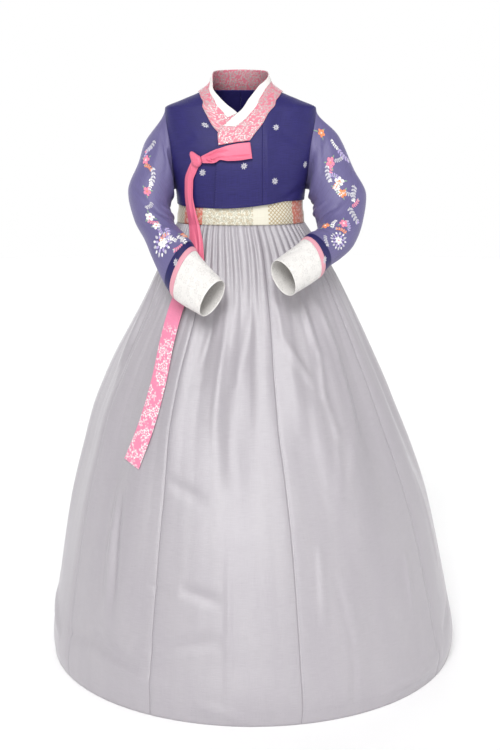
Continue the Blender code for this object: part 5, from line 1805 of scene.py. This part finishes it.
class HANBOK_OT_sleeves(Operator):
    """Sleeves with their navy bands, pink piping and white cuffs"""

    bl_idname = "hanbok.sleeves"
    bl_label = "Sleeves"

    def execute(self, context):
        weave, blossoms = shared_groups()
        colours = context.scene.hanbok_colours
        depth = context.scene.hanbok_sizes.weave_depth
        materials = {
            "sleeve": silk_material("Violet silk", weave, tuple(colours.sleeve), 520.0, 1.1, 0.46, 0.15, 0.12,
                                    1.5 * depth, (0.7, 0.66, 1.0), 0.4),
            "navy": silk_material("Navy silk", weave, tuple(colours.navy), 520.0, 0.9, 0.46, 0.06, 0.2, depth,
                                  (0.4, 0.4, 1.0), 0.35),
            "pink": silk_material("Pink piping", weave, tuple(colours.piping), 800.0, 0.5, 0.45, 0.2, 0.04,
                                  depth),
            "white": foil_material("White damask", weave, blossoms, tuple(colours.white), tuple(colours.damask),
                                   46.0, 0.45, 0.5),
        }
        for side, table in SLEEVES:
            for name, slot, outer, inner in sleeve_pieces(side, table):
                dress(name, outer, inner, materials[slot], tube=True)
        return {"FINISHED"}


class HANBOK_OT_tie(Operator):
    """Pink ribbon tie: knot, loop and two tails"""

    bl_idname = "hanbok.tie"
    bl_label = "Ribbon tie"

    def execute(self, context):
        weave, blossoms = shared_groups()
        colours = context.scene.hanbok_colours
        plain = silk_material("Pink silk", weave, tuple(colours.pink), 900.0, 0.5, 0.42, 0.35, 0.05,
                              context.scene.hanbok_sizes.weave_depth, (1.0, 0.8, 0.85))
        printed = foil_material("Printed pink silk", weave, blossoms, tuple(colours.pale_pink),
                                tuple(colours.foil), 31.0, 0.50, 0.7, tuple(colours.pink))
        outer, inner = ribbon_cloth(ribbon_grid(TAIL_LONG, TAIL_LONG_ROWS), TAIL_CREASES)
        dress("goreum_tail_long", outer, inner, printed)
        outer, inner = ribbon_cloth(ribbon_grid(TAIL_SHORT, TAIL_SHORT_ROWS), TAIL_CREASES)
        dress("goreum_tail_short", outer, inner, plain)
        outer, inner = ribbon_cloth(loop_front(), LOOP_CREASES)
        dress("goreum_loop", outer, inner, plain)
        add_knot(plain)
        return {"FINISHED"}


def add_knot(material):
    """The knot as one closed bead, its rings closed by a point at the back and one at the top."""
    rings = knot_points()
    count = rings.shape[1]
    ends = rings[(0, -1), :].mean(axis=1)
    points = np.concatenate((rings.reshape(-1, 3), ends))
    index = np.arange(rings.shape[0] * count).reshape(rings.shape[:2])
    following = np.roll(index, -1, axis=1)
    sides = np.stack((index[:-1], following[:-1], following[1:], index[1:]), axis=-1).reshape(-1, 4)
    back = np.stack((following[0], index[0], np.full(count, len(points) - 2)), axis=-1)
    top = np.stack((index[-1], following[-1], np.full(count, len(points) - 1)), axis=-1)
    triangles = np.concatenate((sides[:, (0, 1, 2)], sides[:, (0, 2, 3)], back, top))
    flat = points[:, (0, 2)]
    thing = make_object("cloth_goreum_knot", points, triangles, flat[triangles], material)
    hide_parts("goreum_knot")


class HANBOK_OT_embroidery(Operator):
    """Flowers, sprigs and rosettes worked in silk and silver thread"""

    bl_idname = "hanbok.embroidery"
    bl_label = "Embroidery"

    def execute(self, context):
        sleeves = []
        for side, table in SLEEVES:
            sleeves.append(worn(sleeve_cloth(side, table)[0], True, side))
        embroider("sleeve_thread", sleeves, garland(SLEEVE_MOTIFS), both_sides=True)
        embroider("cuff_thread", sleeves, CUFF_MOTIFS, both_sides=True)
        bodies = [worn(outer) for _, outer, _ in jacket_cloths()]
        embroider("jacket_thread", bodies, JACKET_MOTIFS)
        return {"FINISHED"}


class HANBOK_OT_stitching(Operator):
    """Stitches along the skirt's seams and hem and the jacket's seams"""

    bl_idname = "hanbok.stitching"
    bl_label = "Stitching"

    def execute(self, context):
        pitch = context.scene.hanbok_sizes.stitch_pitch
        seams = []
        for number in range(len(SKIRT_SEAMS) - 1):
            cloth = worn(skirt_cloth(number)[0], side=-1)
            rows = np.linspace(2, SKIRT_ROWS - 3, SKIRT_ROWS)
            seams.append(stitches_along(cloth, rows, np.full(SKIRT_ROWS, SEAM_STITCH_COLUMN), pitch))
            columns = np.linspace(1, SKIRT_COLUMNS - 2, SKIRT_COLUMNS)
            row = np.full(SKIRT_COLUMNS, SKIRT_ROWS - 1.0 - HEM_STITCH_ROWS)
            seams.append(stitches_along(cloth, row, columns, HEM_STITCH_PITCH))
        join_strokes("skirt_stitches", seams, stitch_material("Grey thread", (0.30, 0.27, 0.33)))
        edges = []
        for name, outer, _ in jacket_cloths():
            cloth = worn(outer)
            rows, columns = outer.shape[:2]
            low = np.full(columns, 2.0)
            edges.append(stitches_along(cloth, low, np.linspace(1, columns - 2, columns), pitch))
            for column in SEAM_SIDES[name]:
                place = np.full(rows, column * (columns - 1) + (1.5 if column == 0 else -1.5))
                edges.append(stitches_along(cloth, np.linspace(2, rows - 3, rows), place, pitch))
        join_strokes("jacket_stitches", edges, stitch_material("Indigo thread", (0.03, 0.026, 0.11)))
        band = []
        for side, table in SLEEVES:
            outer, _, marks = sleeve_cloth(side, table)
            cloth = worn(outer, True, side)
            columns = np.arange(outer.shape[1] + 1.0)
            for row in (marks[1] + 1.2, marks[2] - 1.2):
                band.append(stitches_along(cloth, np.full(len(columns), row), columns, pitch))
        join_strokes("sleeve_stitches", band, stitch_material("Navy thread", (0.02, 0.018, 0.08)))
        edges = []
        outer, _ = collar_cloth(1.0, COLLAR_COLUMNS, 0, 0, 0, WALL)
        cloth = worn(outer)
        rows = np.linspace(1, len(outer) - 2, len(outer))
        edges.append(stitches_along(cloth, rows, np.full(len(outer), COLLAR_COLUMNS - 2.0), pitch))
        join_strokes("collar_stitches", edges, stitch_material("Pink thread", (0.75, 0.38, 0.43)))
        return {"FINISHED"}


class HANBOK_OT_stage(Operator):
    """Pale floor, soft lights and the camera"""

    bl_idname = "hanbok.stage"
    bl_label = "Studio"

    def execute(self, context):
        sizes = context.scene.hanbok_sizes
        turn = np.linspace(0, 2 * np.pi, 96, endpoint=False)
        rim = np.stack((np.cos(turn), np.sin(turn), np.zeros(96)), axis=1)
        rings = np.concatenate([rim * sizes.floor_radius * share for share in (0.12, 0.4, 1.0)])
        points = np.concatenate((rings, np.zeros((1, 3)))) + (0, 0, FLOOR - FLOOR_GAP)
        index = np.arange(288).reshape(3, 96)
        following = np.roll(index, -1, axis=1)
        quads = np.stack((index[:-1], index[1:], following[1:], following[:-1]), axis=-1).reshape(-1, 4)
        fan = np.stack((index[0], following[0], np.full(96, 288)), axis=-1)
        mesh = bpy.data.meshes.new("studio_floor")
        mesh.from_pydata(points.tolist(), [], quads.tolist() + fan.tolist())
        floor = bpy.data.objects.new("studio_floor", mesh)
        context.scene.collection.objects.link(floor)
        material = bpy.data.materials.new("Studio floor")
        material.use_nodes = True
        tree = material.node_tree
        shader = tree.nodes["Principled BSDF"].inputs
        place = node(tree, "TexCoord").outputs["Object"]
        grain = node(tree, "TexNoise", Vector=place, Scale=3.0, Detail=5.0)
        tones = colour((0.98, 0.98, 0.98)), colour((0.99, 0.99, 0.99))
        put(tree, shader["Base Color"], mixed(tree, ramp(tree, grain.outputs[0], 0.3, 0.7), *tones))
        shader["Roughness"].default_value = 0.85
        mesh.materials.append(material)
        world = bpy.data.worlds.new("Studio")
        world.use_nodes = True
        tree = world.node_tree
        up = node(tree, "SeparateXYZ", Vector=node(tree, "TexCoord").outputs["Generated"]).outputs[2]
        background = tree.nodes["Background"].inputs
        put(tree, background["Color"], mixed(tree, ramp(tree, up, 0.13, 0.42), colour((1, 1, 1)),
                                             colour((1, 1, 1), sizes.dome)))
        background["Strength"].default_value = sizes.sky
        context.scene.world = world
        for name, place, spread, power in (
            ("Key light", (-0.35, -2.4, 1.9), 30.0, sizes.key_power),
            ("Fill light", (2.4, -1.6, 0.9), 70.0, sizes.fill_power),
            ("Back light", (-0.8, 2.4, 1.2), 80.0, sizes.back_power),
        ):
            lamp = bpy.data.lights.new(name, "SUN")
            lamp.angle = np.radians(spread)
            lamp.energy = power
            thing = bpy.data.objects.new(name, lamp)
            thing.location = place
            thing.rotation_euler = (-Vector(place)).to_track_quat("-Z", "Y").to_euler()
            context.scene.collection.objects.link(thing)
        camera = bpy.data.cameras.new("Camera")
        camera.sensor_fit = "VERTICAL"
        camera.sensor_width = camera.sensor_height = 36.0
        camera.lens = sizes.lens
        thing = bpy.data.objects.new("Camera", camera)
        thing.location = (sizes.camera_x, sizes.camera_y, sizes.camera_z)
        thing.rotation_euler = (np.pi / 2 - sizes.camera_pitch, 0, 0)
        context.scene.collection.objects.link(thing)
        context.scene.camera = thing
        context.scene.view_settings.view_transform = "Standard"
        return {"FINISHED"}


STEPS = ("skirt", "waistband", "jacket", "collar", "sleeves", "tie", "embroidery", "stitching", "stage")


class HANBOK_PT_panel(Panel):
    """Sidebar with the colours, the sizes and a button for each piece"""

    bl_label = "Hanbok"
    bl_idname = "HANBOK_PT_panel"
    bl_space_type = "VIEW_3D"
    bl_region_type = "UI"
    bl_category = "Hanbok"

    def draw(self, context):
        for settings in (context.scene.hanbok_colours, context.scene.hanbok_sizes):
            box = self.layout.box()
            for name in settings.__annotations__:
                box.prop(settings, name)
        for step in STEPS:
            self.layout.operator("hanbok." + step)


CLASSES = (
    HanbokColours, HanbokSizes, HANBOK_OT_skirt, HANBOK_OT_waistband, HANBOK_OT_jacket, HANBOK_OT_collar,
    HANBOK_OT_sleeves, HANBOK_OT_tie, HANBOK_OT_embroidery, HANBOK_OT_stitching, HANBOK_OT_stage,
    HANBOK_PT_panel,
)


def register():
    for cls in CLASSES:
        bpy.utils.register_class(cls)
    bpy.types.Scene.hanbok_colours = PointerProperty(type=HanbokColours)
    bpy.types.Scene.hanbok_sizes = PointerProperty(type=HanbokSizes)


def unregister():
    del bpy.types.Scene.hanbok_sizes
    del bpy.types.Scene.hanbok_colours
    for cls in reversed(CLASSES):
        bpy.utils.unregister_class(cls)


def main():
    """Builds the garment and its studio."""
    register()
    for step in STEPS:
        getattr(bpy.ops.hanbok, step)()


if __name__ == "__main__":
    main()
